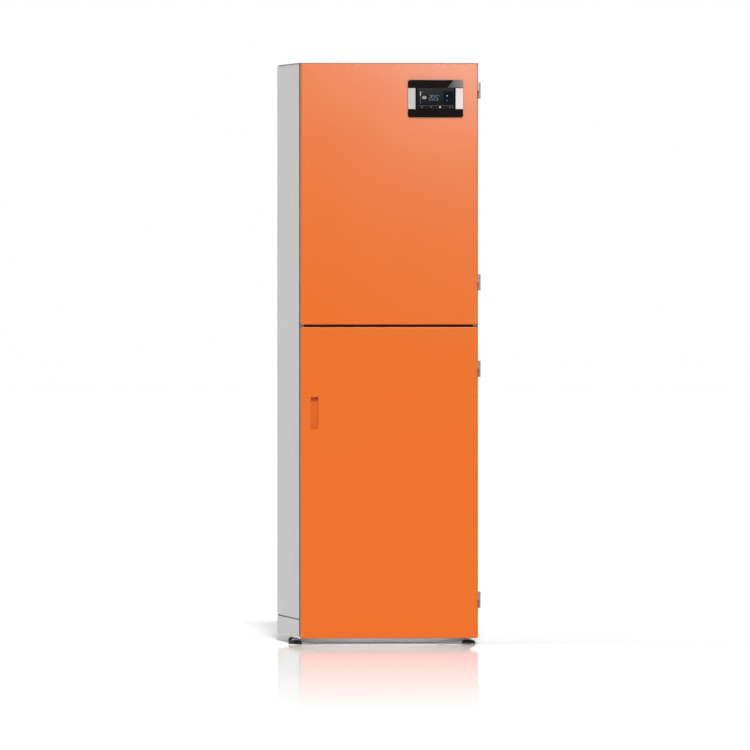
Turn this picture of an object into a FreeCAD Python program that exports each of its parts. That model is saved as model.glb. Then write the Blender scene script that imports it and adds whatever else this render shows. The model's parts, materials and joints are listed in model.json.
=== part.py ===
"""Pellet boiler: a tall folded-sheet cabinet with two doors, a hopper and auger above, a boiler below.

Millimetres. X runs right, Y runs back, Z runs up; the doors face -Y. The origin is on the floor,
under the middle of the whole object.
"""
import FreeCAD, Part
import Sketcher
import os
import re

NEAR = 0.01

# Driving sizes, one per line
SIZES = (
    # Casing
    ("casing_width", 600),
    ("casing_depth", 680),
    ("casing_height", 1910),
    ("floor_clearance", 23),
    ("panel_wall", 1.5),
    ("panel_fold", 18),
    ("bend_radius", 3),
    ("corner_radius", 20),
    ("panel_flange", 30),
    ("panel_fit", 0.5),
    ("plinth_height", 62),
    ("plinth_fold", 66),
    ("plinth_wall", 2),
    ("base_thickness", 3),
    ("base_inset", 4),
    ("rail_flange", 40),
    ("skirt_setback", 227),
    ("skirt_side_gap", 10),
    ("skirt_clearance", 6),
    ("skirt_flange", 20),
    ("shelf_wall", 2),
    ("shelf_rail", 40),
    ("shelf_lip", 30),
    # Doors
    ("door_side_margin", 5),
    ("door_depth", 24),
    ("door_gap", 5),
    ("door_split", 8),
    ("lower_door_height", 1033),
    ("door_top_margin", 2),
    ("door_bottom_margin", 1),
    ("door_wall", 1.5),
    ("door_corner", 5),
    ("door_edge", 3.5),
    ("liner_wall", 1),
    ("liner_inset", 2),
    ("liner_fit", 0.3),
    ("liner_border", 45),
    ("liner_swage", 3),
    ("seal_width", 8),
    ("seal_inset", 7),
    ("seal_clearance", 0.3),
    ("magnet_length", 50),
    ("magnet_height", 10),
    ("magnet_inset", 17),
    # Hinges
    ("hinge_height", 54),
    ("hinge_radius", 5),
    ("hinge_offset", 2.5),
    ("hinge_leaf", 24),
    ("hinge_leaf_wall", 2),
    ("hinge_play", 0.4),
    ("hinge_pin_radius", 2.5),
    ("hinge_pin_fit", 0.05),
    ("hinge_pin_end", 3),
    ("hinge_inset_top", 89),
    ("hinge_inset_above", 140),
    ("hinge_inset_below", 139),
    ("hinge_inset_bottom", 126.5),
    # Controller
    ("display_width", 184),
    ("display_height", 124),
    ("display_proud", 6),
    ("display_side", 49.5),
    ("display_drop", 54.5),
    ("display_corner", 7),
    ("display_edge", 1.5),
    ("display_box_margin", 12),
    ("display_box_depth", 52),
    ("display_box_edge", 4),
    ("display_fit", 1),
    ("screen_width", 120),
    ("screen_height", 70),
    ("screen_recess", 2),
    ("screen_thickness", 1.6),
    ("grip_width", 25),
    ("grip_height", 70),
    ("grip_recess", 3),
    ("grip_edge", 1.2),
    # Finger pull
    ("pull_width", 26),
    ("pull_height", 106),
    ("pull_depth", 15),
    ("pull_undercut", 4),
    ("pull_wall", 1.5),
    ("pull_flange", 5),
    ("pull_side", 32),
    ("pull_drop", 232),
    ("pull_edge", 3),
    # Feet
    ("pad_radius", 23),
    ("pad_rim", 4),
    ("pad_neck", 10),
    ("pad_height", 13),
    ("stem_radius", 6),
    ("stem_fit", 0.3),
    ("stem_height", 66),
    ("nut_flats", 19),
    ("nut_height", 4),
    ("foot_front_setback", 195),
    ("foot_front_inset", 9.5),
    ("foot_rear_setback", 80),
    ("foot_rear_inset", 52),
    # Hopper and auger
    ("hopper_wall", 1.5),
    ("hopper_side_gap", 10),
    ("hopper_front_gap", 35),
    ("hopper_rear_gap", 12),
    ("hopper_headroom", 33),
    ("funnel_height", 204),
    ("apron_height", 190),
    ("apron_lip", 9),
    ("trough_rear_gap", 102),
    ("trough_front_gap", 91),
    ("trough_radius", 32),
    ("trough_wall", 3),
    ("trough_axis_height", 64),
    ("trough_top_height", 110),
    ("trough_foot", 20),
    ("trough_foot_inset", 30),
    ("slot_front_gap", 92),
    ("slot_rear_gap", 15),
    ("shaft_radius", 10),
    ("shaft_fit", 0.08),
    ("flight_radius", 29),
    ("flight_pitch", 62),
    ("flight_thickness", 3),
    ("flight_gap", 8),
    ("gearbox_width", 80),
    ("gearbox_depth", 42),
    ("gearbox_height", 90),
    ("gearbox_edge", 5),
    ("gearbox_lug", 10),
    ("gearbox_lug_wall", 5),
    ("gearbox_cap", 27),
    ("gearbox_cap_height", 4),
    ("gearbox_socket", 24),
    ("motor_radius", 31),
    ("motor_length", 112),
    ("motor_cap", 8),
    ("motor_fin", 4),
    ("motor_fin_depth", 3),
    ("motor_fins", 7),
    ("control_gear_gap", 30.5),
    ("control_depth", 110),
    ("control_height", 150),
    ("control_side_gap", 8),
    ("control_front_gap", 13),
    ("control_edge", 6),
    ("control_seam", 1.5),
    ("control_lid", 34),
    ("control_slots", 9),
    ("control_slot_width", 4),
    ("control_slot_length", 46),
    ("control_slot_pitch", 10),
    ("control_slot_depth", 3),
    ("control_slot_rise", 58),
    ("drop_radius", 30),
    ("drop_wall", 2),
    ("drop_fit", 2),
    ("drop_setback", 131),
    # Boiler block
    ("boiler_side_gap", 70),
    ("boiler_rear_gap", 112),
    ("boiler_headroom", 116),
    ("boiler_setback", 193),
    ("boiler_wall", 5),
    ("ash_side_gap", 40),
    ("ash_height", 167),
    ("ash_fit", 4),
    ("ash_wall", 2),
    ("ash_front_border", 14),
    ("ash_front_thickness", 8),
    ("ash_rear_gap", 10),
    ("handle_span", 130),
    ("handle_reach", 34),
    ("handle_thickness", 10),
    ("handle_bend", 8),
    ("fire_opening_inset", 15),
    ("fire_opening_drop", 50),
    ("fire_opening_rise", 55),
    ("firebox_side_gap", 45),
    ("firebox_ash_gap", 10),
    ("firebox_headroom", 35),
    ("firebox_wall", 5),
    ("fire_door_border", 30),
    ("fire_door_thickness", 10),
    ("fire_door_edge", 4),
    ("fire_door_corner", 12),
    ("fire_insulation", 40),
    ("fire_insulation_fit", 5),
    ("knob_radius", 17),
    ("knob_neck", 8),
    ("knob_height", 24),
    ("knob_bevel", 4),
    ("knob_inset", 15),
    ("knob_flute", 6),
    ("knob_flute_depth", 3),
    ("knob_flutes", 7),
    ("fire_rib_width", 10),
    ("fire_rib_height", 4),
    ("fire_rib_inset", 42),
    ("tube_radius", 27),
    ("tube_wall", 3),
    ("tube_rise", 145),
    ("tube_headroom", 90),
    ("tube_pitch", 100),
    ("tube_row_gap", 60),
    ("tube_rear_gap", 45),
    ("tube_front_gap", 60),
    ("tube_plate", 8),
    ("turbulator_width", 38),
    ("turbulator_wall", 1.5),
    ("turbulator_wave", 6),
    ("turbulator_step", 24),
    ("turbulator_foot", 10),
    ("lift_bar_rise", 18),
    ("lift_bar_thickness", 6),
    ("lift_bar_side", 30),
    ("lift_bar_overhang", 25),
    ("rocker_radius", 8),
    ("rocker_fit", 0.05),
    ("rocker_gap", 14),
    ("rocker_arm", 65),
    ("rocker_arm_width", 10),
    ("rocker_arm_thickness", 8),
    ("rocker_play", 0.3),
    ("rocker_socket", 26),
    ("cleaner_depth", 46),
    ("cleaner_width", 60),
    ("cleaner_height", 90),
    ("cleaner_edge", 5),
    ("insulation", 34),
    ("insulation_margin", 12),
    ("insulation_side_drop", 137),
    ("insulation_rear_rise", 147),
    ("insulation_rear_gap", 10),
    # Burner
    ("burner_width", 170),
    ("burner_depth", 142),
    ("burner_height", 215),
    ("burner_rise", 15),
    ("burner_edge", 10),
    ("burner_cover", 48),
    ("burner_seam", 1.5),
    ("burner_slots", 6),
    ("burner_slot_width", 5),
    ("burner_slot_length", 96),
    ("burner_slot_pitch", 12),
    ("burner_slot_rise", 52),
    ("burner_wall", 6),
    ("burner_flange", 6),
    ("burner_flange_size", 200),
    ("burner_axis", 85),
    ("burner_tube_radius", 65),
    ("burner_tube_wall", 5),
    ("burner_tube_gap", 40),
    ("burner_tube_fit", 1),
    ("burner_inlet", 35),
    ("burner_inlet_fit", 0.3),
    # Flue
    ("smoke_depth", 85),
    ("smoke_height", 185),
    ("smoke_drop", 5),
    ("smoke_wall", 3),
    ("passage_radius", 34),
    ("passage_drop", 44),
    ("flue_drop", 95),
    ("flue_side", 70),
    ("flue_radius", 65),
    ("flue_wall", 2),
    ("flue_reach", 61),
    ("flue_flange_width", 5),
    ("flue_flange_thickness", 3),
    ("fan_side", 75),
    ("fan_radius", 58),
    ("fan_clearance", 4),
    ("fan_disc", 2),
    ("fan_depth", 36),
    ("fan_hub", 14),
    ("fan_gap", 12),
    ("fan_blades", 10),
    ("fan_blade_wall", 2),
    ("fan_shaft_radius", 5),
    ("fan_shaft_fit", 0.08),
    ("fan_socket", 20),
    ("fan_motor_radius", 42),
    ("fan_motor_length", 72),
    ("fan_motor_flange", 54),
    ("fan_motor_fin", 3),
    ("fan_motor_fin_depth", 4),
    ("fan_motor_fins", 5),
    ("panel_hole_fit", 3),
    # Water
    ("pipe_inset", 110),
    ("flow_drop", 50),
    ("return_rise", 97),
    ("pipe_radius", 16.6),
    ("pipe_bore", 13.6),
    ("pipe_reach", 43),
    ("pipe_nut_flats", 46),
    ("pipe_nut_length", 12),
    ("drain_inset", 110),
    ("drain_rise", 60),
    ("drain_radius", 9),
    ("drain_bore", 6),
    ("drain_body_size", 26),
    ("drain_body_length", 30),
    ("drain_body_gap", 8),
    ("drain_hex", 8),
    ("drain_hex_flats", 22),
    ("drain_nozzle", 14),
    ("drain_stem_radius", 4),
    ("drain_stem_fit", 0.05),
    ("drain_stem_height", 9),
    ("lever_length", 46),
    ("lever_width", 12),
    ("lever_thickness", 5),
    ("lever_play", 0.4),
    # Rear electrics
    ("plate_width", 120),
    ("plate_height", 96),
    ("plate_thickness", 4),
    ("plate_side", 60),
    ("plate_rise", 277),
    ("plate_edge", 1.5),
    ("switch_width", 16),
    ("switch_height", 30),
    ("switch_fit", 0.6),
    ("switch_depth", 14),
    ("switch_proud", 4),
    ("switch_tilt", 8),
    ("switch_inset", 34),
    ("switch_pivot", 1),
    ("switch_pivot_fit", 0.05),
    ("switch_pivot_reach", 1.2),
    ("button_radius", 6),
    ("button_fit", 0.08),
    ("button_length", 16),
    ("button_proud", 8),
    ("button_edge", 1.5),
    ("button_collar", 9.5),
    ("button_collar_height", 4),
    ("electrics_drop", 30),
    ("gland_radius", 10),
    ("gland_height", 14),
    ("gland_neck", 7),
    ("gland_bore", 4.5),
    ("gland_flats", 24),
    ("gland_nut", 6),
    ("gland_pitch", 34),
    ("gland_count", 3),
    # Rear panel vents
    ("vent_count", 12),
    ("vent_length", 150),
    ("vent_width", 6),
    ("vent_pitch", 14),
    ("vent_rise", 7),
)

doc = FreeCAD.newDocument("pellet_boiler")
sheet = doc.addObject("Spreadsheet::Sheet", "sheet")
for row, (alias, size) in enumerate(SIZES, 1):
    sheet.set(f"A{row}", alias)
    sheet.set(f"B{row}", str(size))
    sheet.setAlias(f"B{row}", alias)
doc.recompute()

ALIASES = {alias for alias, size in SIZES}
subparts = []

# Places worked out from the driving sizes
DEPTH = "(display_proud + door_depth + door_gap + casing_depth + flue_reach)"
DOOR_FRONT = f"(display_proud - {DEPTH} / 2)"
DOOR_BACK = f"({DOOR_FRONT} + door_depth)"
FRONT = f"({DOOR_BACK} + door_gap)"
REAR = f"({FRONT} + casing_depth)"
SIDE = "(casing_width / 2)"
INNER_SIDE = "(casing_width / 2 - panel_fold)"
PLINTH_TOP = "(floor_clearance + plinth_height)"
FLOOR = f"({PLINTH_TOP} + base_thickness)"
TOP = "(floor_clearance + casing_height)"
LOWER_DOOR_BOTTOM = "(floor_clearance + door_bottom_margin)"
LOWER_DOOR_TOP = f"({LOWER_DOOR_BOTTOM} + lower_door_height)"
UPPER_DOOR_BOTTOM = f"({LOWER_DOOR_TOP} + door_split)"
UPPER_DOOR_TOP = f"({TOP} - door_top_margin)"
SPLIT = f"({LOWER_DOOR_TOP} + door_split / 2)"
RAIL_TOP = f"({SPLIT} + shelf_rail / 2)"
RAIL_BOTTOM = f"({SPLIT} - shelf_rail / 2)"
REAR_PANEL = f"({REAR} - panel_wall)"
HINGE_X = f"({SIDE} + hinge_offset)"
HINGE_Y = f"({DOOR_BACK} + door_gap / 2 - hinge_play)"
DOOR_WIDTH = "(casing_width - 2 * door_side_margin)"
DISPLAY_X = f"({DOOR_WIDTH} / 2 - display_side - display_width / 2)"
DISPLAY_Z = f"({UPPER_DOOR_TOP} - display_drop - display_height / 2)"
PULL_X = f"(pull_side + pull_width / 2 - {DOOR_WIDTH} / 2)"
PULL_Z = f"({LOWER_DOOR_TOP} - pull_drop - pull_height / 2)"
HOPPER_SIDE = f"({INNER_SIDE} - hopper_side_gap - hopper_wall)"
HOPPER_FRONT = f"({FRONT} + hopper_front_gap)"
HOPPER_REAR = f"({REAR_PANEL} - panel_wall - hopper_rear_gap)"
HOPPER_TOP = f"({TOP} - hopper_headroom)"
AUGER_Z = f"({RAIL_TOP} + trough_axis_height)"
TROUGH_TOP = f"({RAIL_TOP} + trough_top_height)"
TROUGH_FRONT = f"({FRONT} + trough_front_gap)"
TROUGH_REAR = f"({REAR} - trough_rear_gap)"
SLOT_REAR = f"({TROUGH_REAR} - slot_rear_gap)"
FUNNEL_TOP = f"({TROUGH_TOP} + funnel_height)"
DROP_Y = f"({FRONT} + drop_setback)"
SLOT_FRONT = f"({DROP_Y} + slot_front_gap)"
BOILER_FRONT = f"({FRONT} + boiler_setback)"
BOILER_REAR = f"({REAR} - boiler_rear_gap)"
BOILER_SIDE = f"({SIDE} - boiler_side_gap)"
BOILER_TOP = f"({RAIL_BOTTOM} - boiler_headroom)"
BOILER_BOTTOM = f"({FLOOR} + boiler_wall)"
ASH_WIDTH = f"(2 * ({BOILER_SIDE} - ash_side_gap))"
ASH_TOP = f"({BOILER_BOTTOM} + ash_height)"
FIREBOX_SIDE = f"({BOILER_SIDE} - firebox_side_gap)"
FIREBOX_LOW = f"({ASH_TOP} + firebox_ash_gap)"
FIREBOX_HIGH = f"({BOILER_TOP} - firebox_headroom)"
FIRE_WIDTH = f"(2 * ({FIREBOX_SIDE} - fire_opening_inset))"
FIRE_LOW = f"({FIREBOX_LOW} + fire_opening_rise)"
FIRE_HIGH = f"({BOILER_TOP} - fire_opening_drop)"
FIRE_DOOR_FRONT = f"({BOILER_FRONT} - fire_door_thickness)"
BURNER_BACK = f"({FIRE_DOOR_FRONT} - burner_flange)"
BURNER_LOW = f"({FIRE_LOW} + burner_rise)"
BURNER_TOP = f"({BURNER_LOW} + burner_height)"
BURNER_Z = f"({BURNER_LOW} + burner_axis)"
TUBE_LOW = f"({FIREBOX_LOW} + tube_rise)"
TUBE_HIGH = f"({BOILER_TOP} - tube_headroom)"
TUBE_REAR_Y = f"({BOILER_REAR} - boiler_wall - tube_rear_gap)"
FIREBOX_FRONT = f"({BOILER_FRONT} + boiler_wall)"
FIREBOX_REAR = f"({TUBE_REAR_Y} - tube_row_gap - tube_front_gap)"
BAR_LOW = f"({TUBE_HIGH} + tube_plate + lift_bar_rise)"
BAR_FRONT = f"({TUBE_REAR_Y} - tube_row_gap - lift_bar_overhang)"
ROCKER_Y = f"({BAR_FRONT} - rocker_gap)"
ROCKER_Z = f"({BAR_LOW} - rocker_play - rocker_arm_thickness / 2)"
SMOKE_SIDE = "(fan_side + fan_radius + fan_clearance + smoke_wall)"
SMOKE_REAR = f"({BOILER_REAR} + smoke_depth)"
SMOKE_HIGH = f"({BOILER_TOP} - smoke_drop)"
SMOKE_LOW = f"({SMOKE_HIGH} - smoke_height)"
PASSAGE_Z = f"({BOILER_TOP} - passage_drop)"
FLUE_Z = f"({BOILER_TOP} - flue_drop)"
FLUE_END = f"({REAR} + flue_reach)"
PIPE_X = f"({SIDE} - pipe_inset)"
FLOW_Z = f"({BOILER_TOP} - flow_drop)"
RETURN_Z = f"({FLOOR} + return_rise)"
DRAIN_X = f"(drain_inset - {SIDE})"
DRAIN_Z = f"({FLOOR} + drain_rise)"
DRAIN_BODY = f"({REAR} + drain_body_gap)"
DRAIN_STEM_Y = f"({DRAIN_BODY} + drain_body_length / 2)"
DRAIN_TOP = f"({DRAIN_Z} + drain_body_size / 2)"
PLATE_X = f"({SIDE} - panel_fold - plate_side - plate_width / 2)"
PLATE_BACK = f"({REAR_PANEL} + plate_thickness)"
PLATE_Z = f"({RAIL_TOP} + plate_rise)"
SWITCH_X = f"({PLATE_X} - plate_width / 2 + switch_inset)"
BUTTON_X = f"({PLATE_X} + plate_width / 2 - switch_inset)"
SWITCH_Y = f"({PLATE_BACK} - plate_thickness / 2)"
CONTROLS_Z = f"({PLATE_Z} + plate_height / 2 - electrics_drop)"
GLAND_Z = f"({PLATE_Z} - plate_height / 2 + electrics_drop - plate_thickness)"


def cells(text):
    """The same expression with every size read from the sheet."""
    def named(match):
        word = match.group()
        return f"sheet.{word}" if word in ALIASES else word
    return re.sub(r"[a-z_]\w*", named, text)


def value(text):
    return float(sheet.evalExpression(cells(text)))


def bind(item, name, text):
    item.setExpression(name, cells(text))


def keep(item, label):
    """Names a finished sub-part."""
    item.Label = label
    subparts.append(item)
    return item


# Plain solids and booleans
TURNS = {
    "x": FreeCAD.Rotation(FreeCAD.Vector(0, 1, 0), 90),
    "y": FreeCAD.Rotation(FreeCAD.Vector(1, 0, 0), -90),
    "z": FreeCAD.Rotation(),
}


def block(x, y, z):
    """A box from one place to another along each axis."""
    item = doc.addObject("Part::Box", "block")
    for axis, size, (low, high) in zip("xyz", ("Length", "Width", "Height"), (x, y, z)):
        bind(item, size, f"({high}) - ({low})")
        bind(item, f"Placement.Base.{axis}", low)
    return item


def rod(axis, centre, span, radius):
    """A cylinder along an axis; centre gives its two other coordinates in order."""
    item = doc.addObject("Part::Cylinder", "rod")
    item.Placement = FreeCAD.Placement(FreeCAD.Vector(), TURNS[axis])
    bind(item, "Radius", radius)
    bind(item, "Height", f"({span[1]}) - ({span[0]})")
    across = iter(centre)
    for name in "xyz":
        bind(item, f"Placement.Base.{name}", span[0] if name == axis else next(across))
    return item


def hexagon(axis, centre, span, flats):
    """A hexagonal prism along an axis, given its size across the flats."""
    item = doc.addObject("Part::Prism", "hexagon")
    item.Polygon = 6
    item.Placement = FreeCAD.Placement(FreeCAD.Vector(), TURNS[axis])
    bind(item, "Circumradius", f"({flats}) / sqrt(3)")
    bind(item, "Height", f"({span[1]}) - ({span[0]})")
    across = iter(centre)
    for name in "xyz":
        bind(item, f"Placement.Base.{name}", span[0] if name == axis else next(across))
    return item


def join(*items):
    item = doc.addObject("Part::MultiFuse", "join")
    item.Shapes = list(items)
    return item


def cut(base, *tools):
    item = doc.addObject("Part::Cut", "cut")
    item.Base = base
    item.Tool = tools[0] if len(tools) == 1 else join(*tools)
    return item


def group(*items):
    item = doc.addObject("Part::Compound", "group")
    item.Links = list(items)
    return item


# Bodies made from sketches
def body(label):
    return doc.addObject("PartDesign::Body", label)


def origin(piece, role):
    return next(item for item in piece.Origin.OriginFeatures if item.Role == role)


def sketch(piece, plane, place):
    """A sketch on a plane of the body, moved to a place along the plane's axis."""
    outline = piece.newObject("Sketcher::SketchObject", "outline")
    outline.AttachmentSupport = [(origin(piece, f"{plane}_Plane"), "")]
    outline.MapMode = "FlatFace"
    bind(outline, "AttachmentOffset.Base.z", f"-({place})" if plane == "XZ" else place)
    return outline


def pin_down(outline, geometry, point, x, y):
    for kind, text in (("DistanceX", x), ("DistanceY", y)):
        index = outline.addConstraint(Sketcher.Constraint(kind, -1, 1, geometry, point, value(text)))
        outline.setExpression(f"Constraints[{index}]", cells(text))


def polygon(outline, points):
    first = outline.GeometryCount
    spots = [FreeCAD.Vector(value(x), value(y), 0) for x, y in points]
    count = len(points)
    for index, spot in enumerate(spots):
        outline.addGeometry(Part.LineSegment(spot, spots[(index + 1) % count]), False)
    for index in range(count):
        following = first + (index + 1) % count
        outline.addConstraint(Sketcher.Constraint("Coincident", first + index, 2, following, 1))
    for index, (x, y) in enumerate(points):
        pin_down(outline, first + index, 1, x, y)


def rectangle(outline, x, y):
    polygon(outline, [(x[0], y[0]), (x[1], y[0]), (x[1], y[1]), (x[0], y[1])])


def around(centre, size):
    """The two ends of a size laid about a centre."""
    return f"({centre}) - ({size}) / 2", f"({centre}) + ({size}) / 2"


def circle(outline, x, y, radius):
    spot = FreeCAD.Vector(value(x), value(y), 0)
    index = outline.addGeometry(Part.Circle(spot, FreeCAD.Vector(0, 0, 1), value(radius)), False)
    pin_down(outline, index, 3, x, y)
    constraint = outline.addConstraint(Sketcher.Constraint("Radius", index, value(radius)))
    outline.setExpression(f"Constraints[{constraint}]", cells(radius))


def pad(piece, outline, length, towards=1):
    """Grows the outline along its axis, towards higher places (1) or lower ones (-1)."""
    flipped = origin(piece, "XZ_Plane") in [support for support, names in outline.AttachmentSupport]
    item = piece.newObject("PartDesign::Pad", "pad")
    item.Profile = outline
    bind(item, "Length", length)
    item.Reversed = (towards > 0) == flipped
    piece.Tip = item
    doc.recompute()
    return item


def pocket(piece, outline, length, towards=1):
    """Cuts the outline out along its axis, and makes sure that something was cut."""
    flipped = origin(piece, "XZ_Plane") in [support for support, names in outline.AttachmentSupport]
    before = piece.Tip.Shape.Volume
    item = piece.newObject("PartDesign::Pocket", "pocket")
    item.Profile = outline
    bind(item, "Length", length)
    item.Reversed = (towards > 0) != flipped
    piece.Tip = item
    doc.recompute()
    if item.Shape.isNull() or item.Shape.Volume >= before:
        raise RuntimeError(f"{piece.Label}: a pocket cuts nothing")
    return item


def round_edges(piece, radius, chosen):
    base = piece.Tip
    names = [f"Edge{index}" for index, edge in enumerate(base.Shape.Edges, 1) if chosen(edge)]
    item = piece.newObject("PartDesign::Fillet", "rounding")
    item.Base = (base, names)
    bind(item, "Radius", radius)
    piece.Tip = item
    doc.recompute()


def hollow(piece, wall, chosen):
    """Leaves only a wall, open at the chosen faces."""
    base = piece.Tip
    names = [f"Face{index}" for index, face in enumerate(base.Shape.Faces, 1) if chosen(face)]
    item = piece.newObject("PartDesign::Thickness", "hollow")
    item.Base = (base, names)
    bind(item, "Value", wall)
    item.Reversed = True
    piece.Tip = item
    doc.recompute()


def lies_at(axis, *texts):
    """Picks the edges or faces that lie flat at one of the places along an axis."""
    places = [value(text) for text in texts]

    def chosen(shape):
        return any(all(abs(getattr(corner.Point, axis) - place) < NEAR for corner in shape.Vertexes)
                   for place in places)
    return chosen


def runs(axis):
    """Picks the straight edges along an axis."""
    def chosen(edge):
        ends = [corner.Point for corner in edge.Vertexes]
        if len(ends) < 2:
            return False
        step = ends[1] - ends[0]
        return abs(abs(getattr(step, axis)) - step.Length) < NEAR
    return chosen


def both(*tests):
    def chosen(shape):
        return all(test(shape) for test in tests)
    return chosen


def turned(label, axis, place, profile):
    """A turned piece: (radius, along) points spun about an axis through a place."""
    piece = body(label)
    for name, text in zip("xyz", place):
        bind(piece, f"Placement.Base.{name}", text)
    outline = sketch(piece, "XZ" if axis == "z" else "XY", "0")
    polygon(outline, [(along, radius) if axis == "x" else (radius, along) for radius, along in profile])
    item = piece.newObject("PartDesign::Revolution", "turning")
    item.Profile = outline
    item.ReferenceAxis = (outline, ["H_Axis" if axis == "x" else "V_Axis"])
    piece.Tip = item
    doc.recompute()
    return piece


def ring_of(piece, feature, role, count):
    """Repeats a feature of a body about one of its axes."""
    item = piece.newObject("PartDesign::PolarPattern", "ring")
    item.Originals = [feature]
    item.Axis = (origin(piece, role), [""])
    bind(item, "Occurrences", count)
    piece.Tip = item
    doc.recompute()


def fins(radius, depth, start, pitch, width, count):
    """The grooves between a motor's fins, as (radius, along) points of its profile."""
    points = []
    for index in range(1, int(value(count)) + 1):
        low = f"({start} + {index} * {pitch})"
        high = f"({low} + {width})"
        floor = f"({radius} - {depth})"
        points += [(radius, low), (floor, low), (floor, high), (radius, high)]
    return points


# Casing
def folded_tray(label, side, low, high, fold, wall):
    """One side of the casing: an upright tray with folded edges, open inwards."""
    piece = body(label)
    outer = f"({side} * {SIDE})"
    outline = sketch(piece, "YZ", outer)
    rectangle(outline, (FRONT, REAR), (low, high))
    pad(piece, outline, fold, -side)
    round_edges(piece, "corner_radius", both(runs("x"), lies_at("y", REAR)))
    round_edges(piece, "bend_radius", lies_at("x", outer))
    hollow(piece, wall, lies_at("x", f"{side} * ({SIDE} - {fold})"))
    return piece


FOOT_PLACES = {
    "foot_front_left": (f"-({SIDE} - foot_front_inset)", f"({FRONT} + foot_front_setback)"),
    "foot_front_right": (f"({SIDE} - foot_front_inset)", f"({FRONT} + foot_front_setback)"),
    "foot_rear_left": (f"-({SIDE} - foot_rear_inset)", f"({REAR} - foot_rear_setback)"),
    "foot_rear_right": (f"({SIDE} - foot_rear_inset)", f"({REAR} - foot_rear_setback)"),
}


def plinth():
    for label, side in (("plinth_left", -1), ("plinth_right", 1)):
        piece = folded_tray(label, side, "floor_clearance", PLINTH_TOP, "plinth_fold", "plinth_wall")
        holes = sketch(piece, "XY", "floor_clearance")
        for x, y in FOOT_PLACES.values():
            if value(x) * side > 0:
                circle(holes, x, y, "stem_radius + stem_fit")
        pocket(piece, holes, "2 * plinth_wall")
        keep(piece, label)
    rails = []
    for edge, towards in ((FRONT, 1), (REAR, -1)):
        rail = body("rail")
        outline = sketch(rail, "YZ", f"plinth_fold - {SIDE}")
        inner = f"({edge} + {towards} * plinth_wall)"
        lip = f"({edge} + {towards} * rail_flange)"
        polygon(outline, [
            (edge, "floor_clearance"),
            (lip, "floor_clearance"),
            (lip, "floor_clearance + plinth_wall"),
            (inner, "floor_clearance + plinth_wall"),
            (inner, f"{PLINTH_TOP} - plinth_wall"),
            (lip, f"{PLINTH_TOP} - plinth_wall"),
            (lip, PLINTH_TOP),
            (edge, PLINTH_TOP),
        ])
        pad(rail, outline, f"2 * ({SIDE} - plinth_fold)")
        rails.append(rail)
    # An angle under the trays, behind the front feet, that closes the gap above the floor
    skirt = body("skirt")
    outline = sketch(skirt, "YZ", f"skirt_side_gap - {SIDE}")
    face = f"({FRONT} + skirt_setback)"
    polygon(outline, [
        (face, "skirt_clearance"),
        (f"{face} + plinth_wall", "skirt_clearance"),
        (f"{face} + plinth_wall", "floor_clearance - plinth_wall"),
        (f"{face} + skirt_flange", "floor_clearance - plinth_wall"),
        (f"{face} + skirt_flange", "floor_clearance"),
        (face, "floor_clearance"),
    ])
    pad(skirt, outline, f"2 * ({SIDE} - skirt_side_gap)")
    keep(group(*rails, skirt), "plinth_cross_rails")
    base = block((f"base_inset - {SIDE}", f"{SIDE} - base_inset"),
                 (f"{FRONT} + base_inset", f"{REAR} - base_inset"), (PLINTH_TOP, FLOOR))
    keep(base, "base_plate")


def feet():
    for label, (x, y) in FOOT_PLACES.items():
        pad_piece = turned("pad", "z", (x, y, "0"), [
            ("0", "0"), ("pad_radius", "0"), ("pad_radius", "pad_rim"), ("pad_neck", "pad_height"),
            ("0", "pad_height")])
        round_edges(pad_piece, "pad_rim / 3", lies_at("z", "pad_rim"))
        stem = rod("z", (x, y), ("pad_height", "stem_height"), "stem_radius")
        nut = hexagon("z", (x, y), ("pad_height", "pad_height + nut_height"), "nut_flats")
        keep(group(pad_piece, join(stem, nut)), label)


def casing():
    for label, side in (("side_panel_left", -1), ("side_panel_right", 1)):
        keep(folded_tray(label, side, FLOOR, TOP, "panel_fold", "panel_wall"), label)

    top = body("top_panel")
    outline = sketch(top, "YZ", f"panel_fit - {INNER_SIDE}")
    low = f"({TOP} - panel_flange)"
    under = f"({TOP} - panel_wall)"
    polygon(outline, [
        (FRONT, low), (FRONT, TOP), (REAR, TOP), (REAR, low), (f"{REAR} - panel_wall", low),
        (f"{REAR} - panel_wall", under), (f"{FRONT} + panel_wall", under), (f"{FRONT} + panel_wall", low)])
    pad(top, outline, f"2 * ({INNER_SIDE} - panel_fit)")
    for edge, sign, radius in ((REAR, -1, "corner_radius"), (FRONT, 1, "bend_radius")):
        round_edges(top, radius, both(runs("x"), lies_at("z", TOP), lies_at("y", edge)))
        inner = f"{edge} + {sign} * panel_wall"
        round_edges(top, f"{radius} - panel_wall", both(runs("x"), lies_at("z", under), lies_at("y", inner)))
    keep(top, "top_panel")

    shelf = body("mid_shelf")
    outline = sketch(shelf, "YZ", f"-{INNER_SIDE}")
    back = f"({FRONT} + shelf_wall)"
    lip = f"({FRONT} + shelf_lip)"
    rear = f"({REAR_PANEL} - panel_wall)"
    polygon(outline, [
        (FRONT, RAIL_BOTTOM), (lip, RAIL_BOTTOM), (lip, f"{RAIL_BOTTOM} + shelf_wall"),
        (back, f"{RAIL_BOTTOM} + shelf_wall"), (back, f"{RAIL_TOP} - shelf_wall"),
        (rear, f"{RAIL_TOP} - shelf_wall"), (rear, RAIL_TOP), (FRONT, RAIL_TOP)])
    pad(shelf, outline, f"2 * {INNER_SIDE}")
    holes = sketch(shelf, "XY", RAIL_TOP)
    circle(holes, "0", DROP_Y, "drop_radius + drop_fit")
    pocket(shelf, holes, "2 * shelf_wall", -1)
    keep(shelf, "mid_shelf")


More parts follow.
